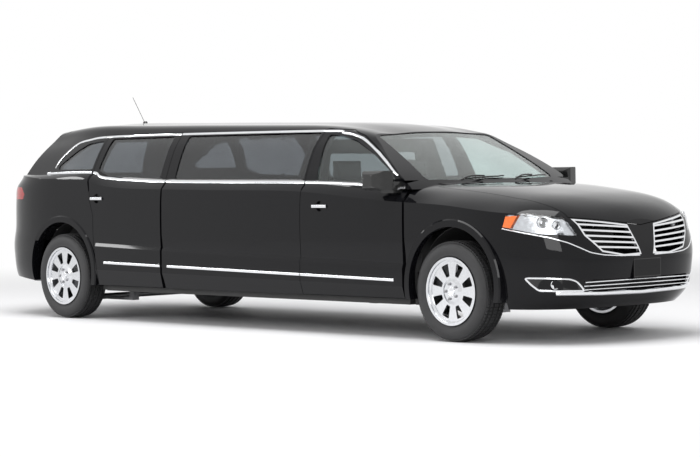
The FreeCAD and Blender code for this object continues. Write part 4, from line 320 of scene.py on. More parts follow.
def begin():
    """Deselect everything, so an operator acts on the new piece alone."""
    if bpy.context.mode != "OBJECT":
        bpy.ops.object.mode_set(mode="OBJECT")
    bpy.ops.object.select_all(action="DESELECT")


def done(piece, name, body, slot, angle=SMOOTH_ANGLE):
    """Name a piece, settle its place in its mesh, give it its finish and the body that it moves with."""
    begin()
    piece.name = name
    piece.data.name = name
    bpy.context.view_layer.objects.active = piece
    piece.select_set(True)
    bpy.ops.object.transform_apply(location=True, rotation=True, scale=True)
    bpy.ops.object.shade_smooth_by_angle(angle=math.radians(angle))
    piece.data.materials.clear()
    piece.data.materials.append(bpy.data.materials[slot])
    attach(piece, body)
    begin()
    return piece


def apply(piece, kind, **settings):
    """Add a modifier with these settings and apply it."""
    begin()
    bpy.context.view_layer.objects.active = piece
    piece.select_set(True)
    modifier = piece.modifiers.new(kind.lower(), kind)
    for setting, value in settings.items():
        setattr(modifier, setting, value)
    bpy.ops.object.modifier_apply(modifier=modifier.name)


def along(points, step):
    """Even places on a smooth line through these (x, z) points."""
    corners = [Vector(point) for point in points]
    line = []
    for place, (here, there) in enumerate(zip(corners, corners[1:])):
        before = corners[max(place - 1, 0)]
        after = corners[min(place + 2, len(corners) - 1)]
        count = max(2, int((there - here).length / step))
        for share in (n / count for n in range(count)):
            enter, leave = (there - before) / 2, (after - here) / 2
            s2, s3 = share ** 2, share ** 3
            line.append((2 * s3 - 3 * s2 + 1) * here + (s3 - 2 * s2 + share) * enter
                        + (3 * s2 - 2 * s3) * there + (s3 - s2) * leave)
    return line + [corners[-1]]


def skin(targets, x, z, side):
    """How far out the outermost of these parts reaches at a place seen from the side."""
    found = []
    for target in targets:
        hit, spot, *_ = target.ray_cast(Vector((x, side * OUTSIDE, z)), Vector((0, -side, 0)))
        if hit:
            found.append(spot.y * side)
    return max(found, default=None)


def strip(name, body, slot, targets, line, side, height, thickness):
    """A thin moulding that lies on the side of the car along a line of (x, z) places."""
    rows = STRIP_ROWS
    parts = [nodes[target] for target in targets]
    begin()
    bpy.ops.mesh.primitive_grid_add(x_subdivisions=len(line) - 1, y_subdivisions=rows - 1, size=1)
    piece = bpy.context.object
    outs = []
    places = []
    for n, here in enumerate(line):
        ahead = (line[min(n + 1, len(line) - 1)] - line[max(n - 1, 0)]).normalized()
        across = Vector((-ahead.y, ahead.x)) * (1 if ahead.x > 0 else -1)
        row = [here + across * height * (share / (rows - 1) - 0.5) for share in range(rows)]
        hits = [skin(parts, spot.x, spot.y, side) for spot in row]
        outs.append(hits)
        places.append(row)
    far = [max([hit for hit in hits if hit is not None], default=None) for hits in outs]
    known = [n for n, value in enumerate(far) if value is not None]
    far = [far[min(known, key=lambda k: abs(k - n))] for n in range(len(far))]
    lean = []
    for n, hits in enumerate(outs):
        low, high = hits[0], hits[-1]
        fits = low is not None and high is not None and abs(high - low) < height
        lean.append((low - far[n], high - far[n]) if fits else (0, 0))
    for vertex in piece.data.vertices:
        n = round((vertex.co.x + 0.5) * (len(line) - 1))
        row = round((vertex.co.y + 0.5) * (rows - 1))
        near = range(max(0, n - SMOOTH_REACH), min(len(line), n + SMOOTH_REACH + 1))
        out = sum(far[k] for k in near) / len(near)
        tilt = [sum(lean[k][end] for k in near) / len(near) for end in (0, 1)]
        out += tilt[0] * (1 - row / (rows - 1)) + tilt[1] * row / (rows - 1)
        vertex.co = (places[n][row].x, side * (out - STRIP_SINK), places[n][row].y)
    apply(piece, "SOLIDIFY", thickness=thickness, offset=0)
    for vertex in piece.data.vertices:
        vertex.co.y += side * thickness / 2
    face_out(piece)
    apply(piece, "BEVEL", width=thickness * EDGE_SHARE, segments=2, limit_method="ANGLE", angle_limit=EDGE_ANGLE)
    return done(piece, name, body, slot)


def face_out(piece):
    """Merge doubles and turn every face outward."""
    begin()
    bpy.context.view_layer.objects.active = piece
    piece.select_set(True)
    bpy.ops.object.mode_set(mode="EDIT")
    bpy.ops.mesh.select_all(action="SELECT")
    bpy.ops.mesh.remove_doubles(threshold=MERGE_DISTANCE)
    bpy.ops.mesh.normals_make_consistent(inside=False)
    bpy.ops.object.mode_set(mode="OBJECT")


def ringed(piece, wanted, rings, individual=False):
    """Inset the faces that pass a test, once for each ring of a width and a depth."""
    begin()
    bpy.context.view_layer.objects.active = piece
    piece.select_set(True)
    bpy.ops.object.mode_set(mode="EDIT")
    bpy.ops.mesh.select_mode(type="FACE")
    bpy.ops.mesh.select_all(action="DESELECT")
    bpy.ops.object.mode_set(mode="OBJECT")
    for face in piece.data.polygons:
        face.select = wanted(face)
    bpy.ops.object.mode_set(mode="EDIT")
    for width, depth in rings:
        bpy.ops.mesh.inset(thickness=width, depth=depth, use_individual=individual)
    bpy.ops.object.mode_set(mode="OBJECT")


# %% [markdown]
# The lines were read off the picture as distances along the car and heights. Each is cut at the gaps between the
# doors and the panels, so that a piece of it swings with its door.

# %% Belt, window and sill mouldings
BELT_LINE = [(1.958, 1.126), (0.995, 1.168), (-0.928, 1.189), (-1.731, 1.223), (-1.973, 1.272), (-2.630, 1.268)]
UPPER_LINE = [(1.861, 1.216), (1.592, 1.367), (1.267, 1.512), (1.05, 1.553), (0.847, 1.571), (-0.943, 1.581),
              (-1.901, 1.578), (-2.20, 1.556), (-2.382, 1.516), (-2.56, 1.40), (-2.650, 1.292)]
SILL_LINE = [(1.886, 0.440), (0.8, 0.458), (-0.9, 0.486), (-1.696, 0.499)]
GAP, LINE_STEP, FEWEST_PLACES = 0.004, 0.02, 4
SPANS = (("front_door", "door_front", "door_front_glass", 0.835, 1.973),
         ("body", "middle_panels", "fixed_side_glass", -0.915, 0.835),
         ("rear_door", "door_rear", "door_rear_glass", -1.957, -0.915),
         ("body", "quarter_panels", "fixed_side_glass", -2.70, -1.957))


def between(line, low, high):
    """The stretch of a line of (x, z) places that lies between two distances along the car."""
    low, high = low + GAP, high - GAP
    inside = [spot for spot in line if low < spot.x < high]
    for edge in (low, high):
        for here, there in zip(line, line[1:]):
            if min(here.x, there.x) < edge < max(here.x, there.x):
                cut = here.lerp(there, (edge - here.x) / (there.x - here.x))
                inside = [cut] + inside if edge == high else inside + [cut]
    return inside


for side, hand in ((-1, "right"), (1, "left")):
    for title, line, height, thickness in (("belt_moulding", BELT_LINE, 0.020, 0.006),
                                           ("window_moulding", UPPER_LINE, 0.017, 0.006),
                                           ("sill_moulding", SILL_LINE, 0.020, 0.007)):
        for body, panel, pane, low, high in SPANS:
            stretch = between(along(line, LINE_STEP), low, high)
            if len(stretch) < FEWEST_PLACES:
                continue
            door = body != "body"
            rides = body + "_" + hand if door else body
            targets = [panel + "_" + hand] if door else [panel] + (["roof_frame"] if title == "window_moulding" else [])
            name = title + "_" + panel + "_" + hand
            strip(name, rides, "chrome", targets, stretch, side, height, thickness)
print("mouldings laid on both sides")

# %% [markdown]
# ## Mouldings on the nose
# The bright lines on the nose run over strongly curved panels. Their courses were read off the picture, so each
# place is found by looking from the camera along that line of sight until it meets the panel that carries it.
# The other side is the mirror image. A curve with a round section follows the places and becomes a mesh.

# %% Helpers: a place in the picture, found on the car, and a round moulding through such places
PICTURE_HEIGHT = 457
TRACE_STEP, FINE_STEP = 4, 5
BOX_CLEARANCE, MIDDLE_GAP = 0.0003, 0.01
CURVE_ORDER, ROUND_STEPS = 3, 3
TURN = camera_turn(HEADING, PITCH, ROLL)


def seen(px, py, targets):
    """Where the line of sight through a place in the picture first meets one of these parts."""
    way = TURN @ Vector((px - PICTURE_WIDTH / 2, PICTURE_HEIGHT / 2 - py, -FOCAL_PIXELS)).normalized()
    found = []
    for target in targets:
        hit, spot, normal, _ = nodes[target].ray_cast(CAMERA_PLACE, way)
        if hit:
            found.append(((spot - CAMERA_PLACE).length, spot, normal))
    return min(found, key=lambda item: item[0])[1:] if found else None


def trace(pixels, targets, step=TRACE_STEP):
    """Places on the car along a line drawn in the picture."""
    spots = []
    for here, there in zip(pixels, pixels[1:]):
        count = max(1, round(math.dist(here, there) / step))
        for n in range(count):
            share = n / count
            spots.append(seen(here[0] + (there[0] - here[0]) * share, here[1] + (there[1] - here[1]) * share, targets))
    spots.append(seen(*pixels[-1], targets))
    return [spot[0] for spot in spots if spot]


def rounded(name, body, slot, spots, radius, closed=False):
    """A round moulding whose middle runs through these places."""
    begin()
    bpy.ops.curve.primitive_nurbs_path_add(location=(0, 0, 0))
    piece = bpy.context.object
    piece.data.splines.clear()
    spline = piece.data.splines.new("NURBS")
    spline.points.add(len(spots) - 1)
    for point, spot in zip(spline.points, spots):
        point.co = (*spot, 1)
    spline.order_u = CURVE_ORDER
    spline.use_endpoint_u = not closed
    spline.use_cyclic_u = closed
    spline.resolution_u = ROUND_STEPS
    piece.data.bevel_depth = radius
    piece.data.bevel_resolution = ROUND_STEPS
    piece.data.use_fill_caps = not closed
    piece.select_set(True)
    bpy.ops.object.convert(target="MESH")
    piece = bpy.context.object
    face_out(piece)
    # The nose ends at the front of the box, so a moulding there is flat where it would stand out past it.
    for vertex in piece.data.vertices:
        vertex.co.x = min(vertex.co.x, cad_box[1].x - BOX_CLEARANCE)
    return done(piece, name, body, slot)


def mirrored(spots):
    """The same places on the other side of the car."""
    return [Vector((spot.x, -spot.y, spot.z)) for spot in spots]


# %% Fog lamp surrounds and the bars under the grille
FOG_EDGE = [(524.6, 278.3), (545, 278.6), (569.8, 279.2), (577, 281.6), (582.0, 287.0), (584.8, 290.9), (560, 291.2),
            (538.9, 290.9), (531, 284.8)]
LOWER_BAR = [(556, 293.6), (600, 293.2), (640, 291.4), (690, 288.5)]
GRILLE_EDGE = [(502, 228.8), (519, 232.4), (534, 235.2), (552, 238.4), (568, 242.8), (580, 247.8), (591, 252.6),
               (604, 254.9), (622, 255.6), (641, 254.8)]
BUMPER = ["front_bumper"]
FOG_RADIUS, BAR_RADIUS, EDGE_RADIUS = 0.0075, 0.016, 0.0045


def whole_front(pixels, targets):
    """Places from one side of the nose across its middle to the other."""
    half = [spot for spot in trace(pixels, targets) if spot.y < -MIDDLE_GAP]
    middle = half[-1].copy()
    middle.y = 0
    return half + [middle] + list(reversed(mirrored(half)))


fog_edge = trace(FOG_EDGE + FOG_EDGE[:1], BUMPER, FINE_STEP)[:-1]
rounded("fog_surround_right", "body", "chrome", fog_edge, FOG_RADIUS, closed=True)
rounded("fog_surround_left", "body", "chrome", mirrored(fog_edge), FOG_RADIUS, closed=True)
rounded("lower_bar", "body", "chrome", whole_front(LOWER_BAR, BUMPER), BAR_RADIUS)
edge = trace(GRILLE_EDGE, BUMPER, FINE_STEP)
rounded("lamp_and_grille_edge_right", "body", "chrome", edge, EDGE_RADIUS)
rounded("lamp_and_grille_edge_left", "body", "chrome", mirrored(edge), EDGE_RADIUS)
print("nose mouldings:", len(fog_edge), "places round a fog lamp,", len(edge), "along a grille")

# %% [markdown]
# The intake under the plate has three slim bars across it and a dark screen behind. The bars end inside the
# bumper. Each fog recess gets a dark panel with a small round lamp in it.

# %% Intake bars, screen, fog lamps
INTAKE_TOP = [(594, 279.0), (640, 275.6), (686, 272.6)]
INTAKE_FOOT = [(592, 294.0), (640, 291.0), (686, 287.8)]
INTAKE_REACH, BAR_SHARES, BAR_HALF_STEPS, BAR_SINK = 0.58, (0.20, 0.45, 0.70), 6, 0.012
SCREEN_X, BACKING_X, SCREEN_Z = 3.32, 3.300, 0.40
SCREEN_WIDTH, SCREEN_HEIGHT, WIRE, BACKING_THICKNESS = 1.10, 0.17, 0.004, 0.006
FOG_PANEL_THICKNESS, FOG_LAMP_RADIUS, FOG_LAMP_DEPTH, FOG_LAMP_OUT = 0.006, 0.034, 0.022, 0.006
FOG_RINGS = ((0.005, 0), (0.002, -0.006), (0.012, 0.003))
FACING_SHARE = 0.9


def outward_face(face):
    """True for the end of a round lamp that points outward, along the lamp's own Z."""
    return face.normal.z > FACING_SHARE


top_edge = whole_front(INTAKE_TOP, BUMPER)
low_edge = whole_front(INTAKE_FOOT, BUMPER)
for number, share in enumerate(BAR_SHARES):
    bar = []
    for n in range(2 * BAR_HALF_STEPS + 1):
        y = INTAKE_REACH * (n / BAR_HALF_STEPS - 1)
        high = min(top_edge, key=lambda spot: abs(spot.y - y))
        low = min(low_edge, key=lambda spot: abs(spot.y - y))
        spot = high.lerp(low, share)
        bar.append(Vector((spot.x - BAR_SINK, y, spot.z)))
    rounded(f"intake_bar_{number + 1}", "body", "chrome", bar, EDGE_RADIUS)

begin()
bpy.ops.mesh.primitive_grid_add(x_subdivisions=60, y_subdivisions=10, size=1, location=(SCREEN_X, 0, SCREEN_Z),
                                rotation=(math.pi / 2, 0, math.pi / 2))
screen = bpy.context.object
screen.scale = (SCREEN_WIDTH, SCREEN_HEIGHT, 1)
bpy.ops.object.transform_apply(location=True, rotation=True, scale=True)
apply(screen, "WIREFRAME", thickness=WIRE, use_replace=True)
done(screen, "intake_screen", "body", "black_plastic")
begin()
bpy.ops.mesh.primitive_cube_add(size=1, location=(BACKING_X, 0, SCREEN_Z))
backing = bpy.context.object
backing.scale = (BACKING_THICKNESS, SCREEN_WIDTH, SCREEN_HEIGHT)
done(backing, "intake_backing", "body", "dark_trim")
apply(backing, "BEVEL", width=0.002, segments=2)

for side, hand in ((-1, "right"), (1, "left")):
    edge_spots = fog_edge if side < 0 else mirrored(fog_edge)
    middle = sum(edge_spots, Vector()) / len(edge_spots)
    begin()
    bpy.ops.mesh.primitive_circle_add(vertices=len(edge_spots), fill_type="NGON", radius=1)
    panel = bpy.context.object
    for vertex, spot in zip(panel.data.vertices, edge_spots):
        vertex.co = spot
    apply(panel, "SOLIDIFY", thickness=FOG_PANEL_THICKNESS, offset=0)
    face_out(panel)
    done(panel, "fog_panel_" + hand, "body", "black_plastic")
    facing = Vector((0.86, side * 0.50, 0.0))
    begin()
    bpy.ops.mesh.primitive_cylinder_add(vertices=40, radius=FOG_LAMP_RADIUS, depth=FOG_LAMP_DEPTH,
                                        location=middle + facing * FOG_LAMP_OUT,
                                        rotation=facing.to_track_quat("Z", "Y").to_euler())
    fog = bpy.context.object
    ringed(fog, outward_face, FOG_RINGS)
    apply(fog, "BEVEL", width=0.001, segments=2, limit_method="ANGLE")
    done(fog, "fog_lamp_" + hand, "body", "chrome")
print("intake and fog lamps in place")

# %% [markdown]
# ## Headlamp insides
# A headlamp is a clear cover over a bright housing. The housing here is a copy of the cover itself, merged and
# moved a little inward, so its outline fits. Two round projectors stand on it, and the outer end of the cover
# carries an amber marker, cut from another copy with a bisect.

# %% Lamp housings, projectors and markers
HOUSING_BACK, HOUSING_IN, HOUSING_DOWN = 0.030, 0.022, 0.001
MARKER_MIDDLE, MARKER_OUT, MARKER_FORWARD = 0.02, 0.0012, 0.0006
MARKER_CUT, MARKER_CUT_FACING = (3.035, 0.9, 0.85), (0.92, 0, -0.39)
MARKER_HEIGHT, MARKER_SHARE = 0.86, 0.86
PROJECTORS = ((543.5, 222.5, 0.040), (557.0, 225.5, 0.030))
PROJECTOR_DEPTH, PROJECTOR_SINK, LENS_SHARE = 0.030, 0.021, 0.28


def copy_of(node):
    """A merged copy of a CAD part's mesh in a new object."""
    begin()
    piece = bpy.data.objects.new("copy", nodes[node].data.copy())
    bpy.context.collection.objects.link(piece)
    face_out(piece)
    return piece


def cut_away(piece, place, direction, fill=True):
    """Remove what lies beyond a plane."""
    begin()
    bpy.context.view_layer.objects.active = piece
    piece.select_set(True)
    bpy.ops.object.mode_set(mode="EDIT")
    bpy.ops.mesh.select_all(action="SELECT")
    bpy.ops.mesh.bisect(plane_co=place, plane_no=direction, use_fill=fill, clear_outer=True)
    bpy.ops.object.mode_set(mode="OBJECT")


finish("lamp_silver", (0.62, 0.64, 0.67), 0.22, metal=1, vary=0.10, uneven=0.08, grain=35)
finish("amber_lens", (0.85, 0.16, 0.02), 0.12, vary=0.12, uneven=0.03, grain=60, Coat_Weight=0.6)
for side, hand in ((-1, "right"), (1, "left")):
    housing = copy_of("headlamps")
    for vertex in housing.data.vertices:
        vertex.co.x -= HOUSING_BACK
    cut_away(housing, (0, 0, 0), (0, -side, 0))
    for vertex in housing.data.vertices:
        vertex.co.y -= side * HOUSING_IN
        vertex.co.z -= HOUSING_DOWN
    done(housing, "headlamp_housing_" + hand, "body", "lamp_silver")
    marker = copy_of("headlamps")
    cut_away(marker, (0, side * MARKER_MIDDLE, 0), (0, -side, 0))
    cut_away(marker, (MARKER_CUT[0], side * MARKER_CUT[1], MARKER_CUT[2]), MARKER_CUT_FACING)
    for vertex in marker.data.vertices:
        vertex.co.y += side * MARKER_OUT
        vertex.co.x += MARKER_FORWARD
        vertex.co.z = MARKER_HEIGHT + (vertex.co.z - MARKER_HEIGHT) * MARKER_SHARE
    done(marker, "marker_lens_" + hand, "body", "amber_lens")
    for number, (px, py, radius) in enumerate(PROJECTORS):
        place, _ = seen(px, py, ["headlamps"])
        place = Vector((place.x, side * abs(place.y), place.z))
        facing = Vector((0.90, side * 0.38, 0.02)).normalized()
        begin()
        bpy.ops.mesh.primitive_cylinder_add(vertices=48, radius=radius, depth=PROJECTOR_DEPTH,
                                            location=place - facing * PROJECTOR_SINK,
                                            rotation=facing.to_track_quat("Z", "Y").to_euler())
        lens = bpy.context.object
        ringed(lens, outward_face, ((0.006, 0), (0.003, -0.010), (radius * LENS_SHARE, 0.004)))
        apply(lens, "BEVEL", width=0.0012, segments=2, limit_method="ANGLE")
        done(lens, f"projector_{number + 1}_{hand}", "body", "chrome")
print("headlamps filled")

# %% [markdown]
# ## Plates
# Number plates are thin pressed sheets with a rolled rim. Both stay blank.

# %% Blank plates
PLATE_THICKNESS, PLATE_WIDTH, FRONT_PLATE_HEIGHT, REAR_PLATE_HEIGHT = 0.004, 0.300, 0.130, 0.150
FRONT_PLATE_BACK, FRONT_PLATE_Z, REAR_PLATE_X, REAR_PLATE_Z = 0.0021, 0.5304, -3.4655, 0.9095
PLATE_RINGS = ((0.005, 0), (0.003, -0.002))


def plate(name, body, x, z, facing, height):
    """A blank pressed plate with a raised rim."""
    begin()
    bpy.ops.mesh.primitive_cube_add(size=1, location=(x, 0, z))
    piece = bpy.context.object
    piece.scale = (PLATE_THICKNESS, PLATE_WIDTH, height)
    bpy.ops.object.transform_apply(location=False, rotation=False, scale=True)
    ringed(piece, lambda face: face.normal.x * facing > FACING_SHARE, PLATE_RINGS)
    apply(piece, "BEVEL", width=0.0007, segments=2, limit_method="ANGLE")
    return done(piece, name, body, "black_plastic")


plate("front_plate", "body", cad_box[1].x - FRONT_PLATE_BACK, FRONT_PLATE_Z, 1, FRONT_PLATE_HEIGHT)
plate("rear_plate", "tailgate", REAR_PLATE_X, REAR_PLATE_Z, -1, REAR_PLATE_HEIGHT)
print("plates blank")

# %% [markdown]
# ## Tyres
# A road tyre is a ring with soft shoulders, round grooves and rows of blocks. Half of its section is drawn as a
# line of edges, mirrored, and spun round the axle. The tread's faces are then inset one by one and pushed out, so
# narrow grooves stay between the blocks. One tyre is made at the origin, and each wheel gets a copy.

# %% One tyre with a real tread
SECTION = [(0.0, 0.3605), (0.020, 0.3605), (0.022, 0.3540), (0.030, 0.3540), (0.032, 0.3600), (0.060, 0.3590),
           (0.062, 0.3525), (0.069, 0.3520), (0.071, 0.3575), (0.092, 0.3545), (0.1040, 0.3470), (0.1115, 0.3350),
           (0.1155, 0.3200), (0.1165, 0.3020), (0.1150, 0.2860), (0.1110, 0.2700), (0.1120, 0.2660), (0.1075, 0.2600),
           (0.1030, 0.2545), (0.0960, 0.2515), (0.0, 0.2515)]
TREAD_STEPS, TREAD_RISE = 84, 0.0090
TREAD_RINGS = ((0.0014, 0), (0.0010, TREAD_RISE))
TREAD_FLOOR, BAND_FLOOR, BAND_EDGE = 0.3500, 0.3555, 0.071

section = [(y, r) for y, r in reversed(SECTION)] + [(-y, r) for y, r in SECTION[1:-1]]
begin()
bpy.ops.mesh.primitive_circle_add(vertices=len(section), radius=1)
tyre = bpy.context.object
for vertex, (y, r) in zip(tyre.data.vertices, section):
    vertex.co = (0, y, r)
bpy.ops.object.mode_set(mode="EDIT")
bpy.ops.mesh.select_all(action="SELECT")
bpy.ops.mesh.spin(steps=TREAD_STEPS, angle=math.tau, center=(0, 0, 0), axis=(0, 1, 0), dupli=False)
bpy.ops.object.mode_set(mode="OBJECT")
face_out(tyre)


def tread_face(face):
    """True for the bands between the round grooves."""
    middle = face.center
    radius = math.hypot(middle.x, middle.z)
    outward = (face.normal.x * middle.x + face.normal.z * middle.z) / radius
    return radius > TREAD_FLOOR and outward > FACING_SHARE and (radius > BAND_FLOOR or abs(middle.y) > BAND_EDGE)


ringed(tyre, tread_face, TREAD_RINGS, individual=True)
print("tyre faces", len(tyre.data.polygons), "largest radius",
      round(max(math.hypot(v.co.x, v.co.z) for v in tyre.data.vertices), 4))

# %% [markdown]
# The copies go where the CAD tyres are. The wheel centre is the middle of each CAD tyre's box. A plain cap and
# five wheel nuts finish each rim.

# %% Tyres, caps and nuts on the four wheels
NUT_CIRCLE, NUTS, NUT_OUT = 0.057, 5, 0.004
NUT_RADIUS, NUT_LENGTH = 0.0115, 0.018
CAP_RADIUS, CAP_DEPTH, CAP_SINK = 0.034, 0.016, 0.003
CAP_RINGS = ((0.004, 0), (0.0015, -0.002), (0.012, 0.0012))
TYRE_SMOOTH_ANGLE = 28


def nut_at(place):
    """A chamfered wheel nut standing on the rim, pointing outward."""
    begin()
    bpy.ops.mesh.primitive_cylinder_add(vertices=6, radius=NUT_RADIUS, depth=NUT_LENGTH, location=place,
                                        rotation=(math.pi / 2, 0, 0))
    nut = bpy.context.object
    apply(nut, "BEVEL", width=0.0022, segments=2)
    return nut


for place in ("front_right", "front_left", "rear_right", "rear_left"):
    low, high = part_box("tyre_" + place)
    middle = (Vector(low) + Vector(high)) / 2
    side = 1 if middle.y > 0 else -1
    end, hand = place.split("_")
    body = end + "_wheel_" + hand
    begin()
    ring = bpy.data.objects.new("ring", tyre.data.copy())
    bpy.context.collection.objects.link(ring)
    for vertex in ring.data.vertices:
        vertex.co += middle
    done(ring, "tyre_treaded_" + place, body, "tyre_rubber", angle=TYRE_SMOOTH_ANGLE)
    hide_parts("tyre_" + place)
    rim = nodes["rim_" + place]
    _, hub_face, *_ = rim.ray_cast(Vector((middle.x, side * OUTSIDE, middle.z)), Vector((0, -side, 0)))
    begin()
    bpy.ops.mesh.primitive_cylinder_add(vertices=48, radius=CAP_RADIUS, depth=CAP_DEPTH, rotation=(math.pi / 2, 0, 0),
                                        location=(middle.x, hub_face.y - side * CAP_SINK, middle.z))
    cap = bpy.context.object
    bpy.ops.object.transform_apply(location=True, rotation=True, scale=True)
    ringed(cap, lambda face: face.normal.y * side > FACING_SHARE, CAP_RINGS)
    apply(cap, "BEVEL", width=0.0015, segments=3, limit_method="ANGLE")
    done(cap, "wheel_cap_" + place, body, "chrome")
    nuts = []
    for n in range(NUTS):
        turn = math.tau * (n + 0.5) / NUTS
        x, z = middle.x + NUT_CIRCLE * math.cos(turn), middle.z + NUT_CIRCLE * math.sin(turn)
        _, spot, *_ = rim.ray_cast(Vector((x, side * OUTSIDE, z)), Vector((0, -side, 0)))
        nuts.append(nut_at(Vector((x, spot.y + side * NUT_OUT, z))))
    begin()
    for nut in nuts:
        nut.select_set(True)
    bpy.context.view_layer.objects.active = nuts[0]
    bpy.ops.object.join()
    done(nuts[0], "wheel_nuts_" + place, body, "steel")
bpy.data.objects.remove(tyre)
print("wheels dressed")

# %% [markdown]
# ## Door handles, mirrors and wipers
# The door handles are bars in the CAD doors. Each gets a bright cap, a slim bar with rounded ends just proud of
# the CAD one. Each mirror gets a mirror glass that faces back. The wipers rest low on the screen, each an arm and
# a slim blade that follows the glass.

# %% Bright handle caps
HANDLE_LENGTH, HANDLE_THICKNESS, HANDLE_HEIGHT = 0.168, 0.007, 0.024
HANDLE_SINK, HANDLE_OUT, HANDLE_FEEL = 0.0035, 0.0008, (-0.05, 0, 0.05)
FRONT_AXLE_X = 2.455
HANDLES = (("front", FRONT_AXLE_X - 1.393, 0.988), ("rear", FRONT_AXLE_X - 4.253, 1.047))
for side, hand in ((-1, "right"), (1, "left")):
    for end, x, z in HANDLES:
        panel = nodes["door_" + end + "_" + hand]
        outs = [skin([panel], x + dx, z, side) for dx in HANDLE_FEEL]
        out = max(value for value in outs if value is not None)
        begin()
        bpy.ops.mesh.primitive_cube_add(size=1, location=(x, side * (out - HANDLE_SINK), z))
        bar = bpy.context.object
        bar.scale = (HANDLE_LENGTH, HANDLE_THICKNESS, HANDLE_HEIGHT)
        bpy.ops.object.transform_apply(location=True, rotation=True, scale=True)
        apply(bar, "BEVEL", width=0.0034, segments=4)
        for vertex in bar.data.vertices:
            vertex.co.y += side * HANDLE_OUT
        done(bar, "handle_cap_" + end + "_" + hand, end + "_door_" + hand, "chrome")
print("handles capped")

# %% Mirror glass
GLASS_UP, GLASS_ACROSS, GLASS_THICKNESS, GLASS_OUT = 0.095, 0.035, 0.004, 0.0004
GLASS_WIDTH, GLASS_HEIGHT = 0.120, 0.100

for side, hand in ((-1, "right"), (1, "left")):
    low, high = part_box("mirror_" + hand)
    inner, outer = sorted((abs(low[1]), abs(high[1])))
    z = low[2] + GLASS_UP
    y = side * (inner + outer) / 2 + side * GLASS_ACROSS
    shell = nodes["mirror_" + hand]
    hit, spot, *_ = shell.ray_cast(Vector((low[0] - 1, y, z)), Vector((1, 0, 0)))
    back = spot.x if hit else low[0]
    begin()
    bpy.ops.mesh.primitive_cylinder_add(vertices=48, radius=0.5, depth=GLASS_THICKNESS,
                                        location=(back + GLASS_OUT, y, z), rotation=(0, math.pi / 2, 0))
    face = bpy.context.object
    bpy.ops.object.transform_apply(location=False, rotation=True, scale=False)
    face.scale = (1, GLASS_WIDTH, GLASS_HEIGHT)
    bpy.ops.object.transform_apply(location=True, rotation=True, scale=True)
    apply(face, "BEVEL", width=0.0008, segments=2, limit_method="ANGLE")
    done(face, "mirror_glass_" + hand, "front_door_" + hand, "chrome")
print("mirrors finished")

# %% Two wipers on the windscreen
WIPERS = ((-0.42, 0.10), (0.16, 0.62))
BLADE_STEPS, BLADE_START, BLADE_OFF, FEWEST_BLADE_PLACES = 14, 0.06, 0.010, 5
SCREEN_FOOT_X, FEEL_STEP, FEELS, REST_Z, REST_RISE, ABOVE = 2.04, 0.006, 60, 1.175, 0.015, 3
BLADE_RADIUS, ARM_RADIUS = 0.0055, 0.0065
ARM_END, ARM_FOOT_FORWARD, ARM_FOOT_DOWN = Vector((0.004, 0, 0.012)), 0.050, 0.012
ARM_KNEE, ARM_CROWN = Vector((-0.004, 0.05, 0.022)), Vector((0.002, 0, 0.020))


def on_screen(x_from, y):
    """Where a point above the car drops on to the windscreen."""
    hit, spot, normal, _ = nodes["windscreen"].ray_cast(Vector((x_from, y, ABOVE)), Vector((0, 0, -1)))
    return (spot, normal) if hit else None


for number, (pivot_y, tip_y) in enumerate(WIPERS):
    blade = []
    for n in range(BLADE_STEPS + 1):
        share = n / BLADE_STEPS
        y = pivot_y + BLADE_START + (tip_y - pivot_y - BLADE_START) * share
        found = None
        for step in range(FEELS):
            x = SCREEN_FOOT_X - step * FEEL_STEP
            found = on_screen(x, y)
            if found and found[0].z > REST_Z + REST_RISE * share:
                break
        if found:
            blade.append(found[0] + found[1] * BLADE_OFF)
    if len(blade) > FEWEST_BLADE_PLACES:
        rounded(f"wiper_blade_{number + 1}", "body", "black_plastic", blade, BLADE_RADIUS)
        middle = blade[len(blade) // 2] + ARM_END
        foot = Vector((blade[0].x + ARM_FOOT_FORWARD, pivot_y, blade[0].z - ARM_FOOT_DOWN))
        arm = [foot, foot + ARM_KNEE, (foot + middle) / 2 + ARM_CROWN, middle]
        rounded(f"wiper_arm_{number + 1}", "body", "black_plastic", arm, ARM_RADIUS)
print("wipers on the screen")

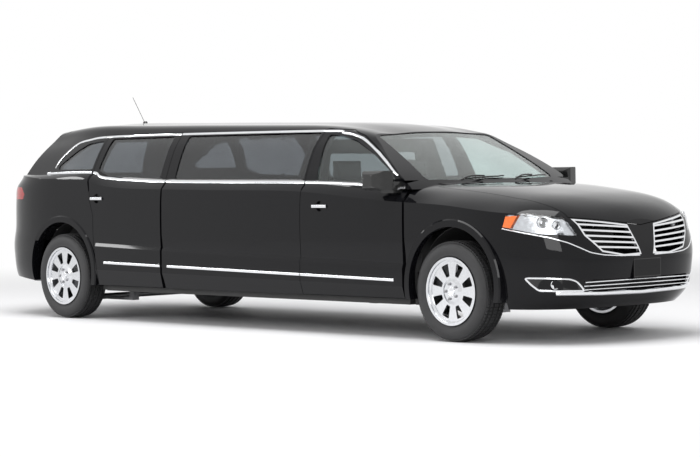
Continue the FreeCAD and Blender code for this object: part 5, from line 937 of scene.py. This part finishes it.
# %% [markdown]
# ## Seats
# Car seats are foam under leather: crowned between the seams, with soft edges. The CAD seats are hard blocks.
# Each gets a soft copy that stands for it. The copy is remeshed in even voxels, made a little smaller, smoothed,
# and then blown up slightly as cloth under pressure. It never grows past the CAD block's box.

# %% Soft seats from the CAD blocks
VOXEL, SHRINK, PRESSURE, MOST_SWELL = 0.014, 0.010, 3.0, 0.016
SMOOTHING, SMOOTH_PASSES, CLOTH_FRAMES = 0.6, 4, 12
FILL, SEAT_SMOOTH_ANGLE = 0.7, 60


def soft_copy(node, name):
    """A padded piece in place of a hard CAD one."""
    piece = copy_of(node)
    piece.name = name
    apply(piece, "REMESH", mode="VOXEL", voxel_size=VOXEL, use_smooth_shade=True)
    low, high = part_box(node)
    apply(piece, "DISPLACE", strength=-SHRINK, mid_level=0)
    apply(piece, "SMOOTH", factor=SMOOTHING, iterations=SMOOTH_PASSES)
    start = [vertex.co.copy() for vertex in piece.data.vertices]
    begin()
    bpy.context.view_layer.objects.active = piece
    piece.select_set(True)
    cloth = piece.modifiers.new("cloth", "CLOTH")
    cloth.settings.use_pressure = True
    cloth.settings.uniform_pressure_force = PRESSURE
    cloth.settings.effector_weights.gravity = 0
    for frame_number in range(1, CLOTH_FRAMES + 1):
        bpy.context.scene.frame_set(frame_number)
    swollen = piece.evaluated_get(bpy.context.evaluated_depsgraph_get()).data
    ends = [vertex.co.copy() for vertex in swollen.vertices]
    piece.modifiers.remove(cloth)
    bpy.context.scene.frame_set(1)
    for vertex, old, new in zip(piece.data.vertices, start, ends):
        move = new - old
        if move.length > MOST_SWELL:
            move = move.normalized() * MOST_SWELL
        place = old + move
        vertex.co = Vector([min(max(place[k], low[k]), high[k]) for k in range(3)])
    done(piece, name, "body", "seat_leather", angle=SEAT_SMOOTH_ANGLE)
    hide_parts(node)
    return piece


for node, name in (("front_seats", "front_seat_cushions"), ("cabin_seats", "cabin_seat_cushions")):
    seat = soft_copy(node, name)
    print(name, len(seat.data.polygons), "faces")
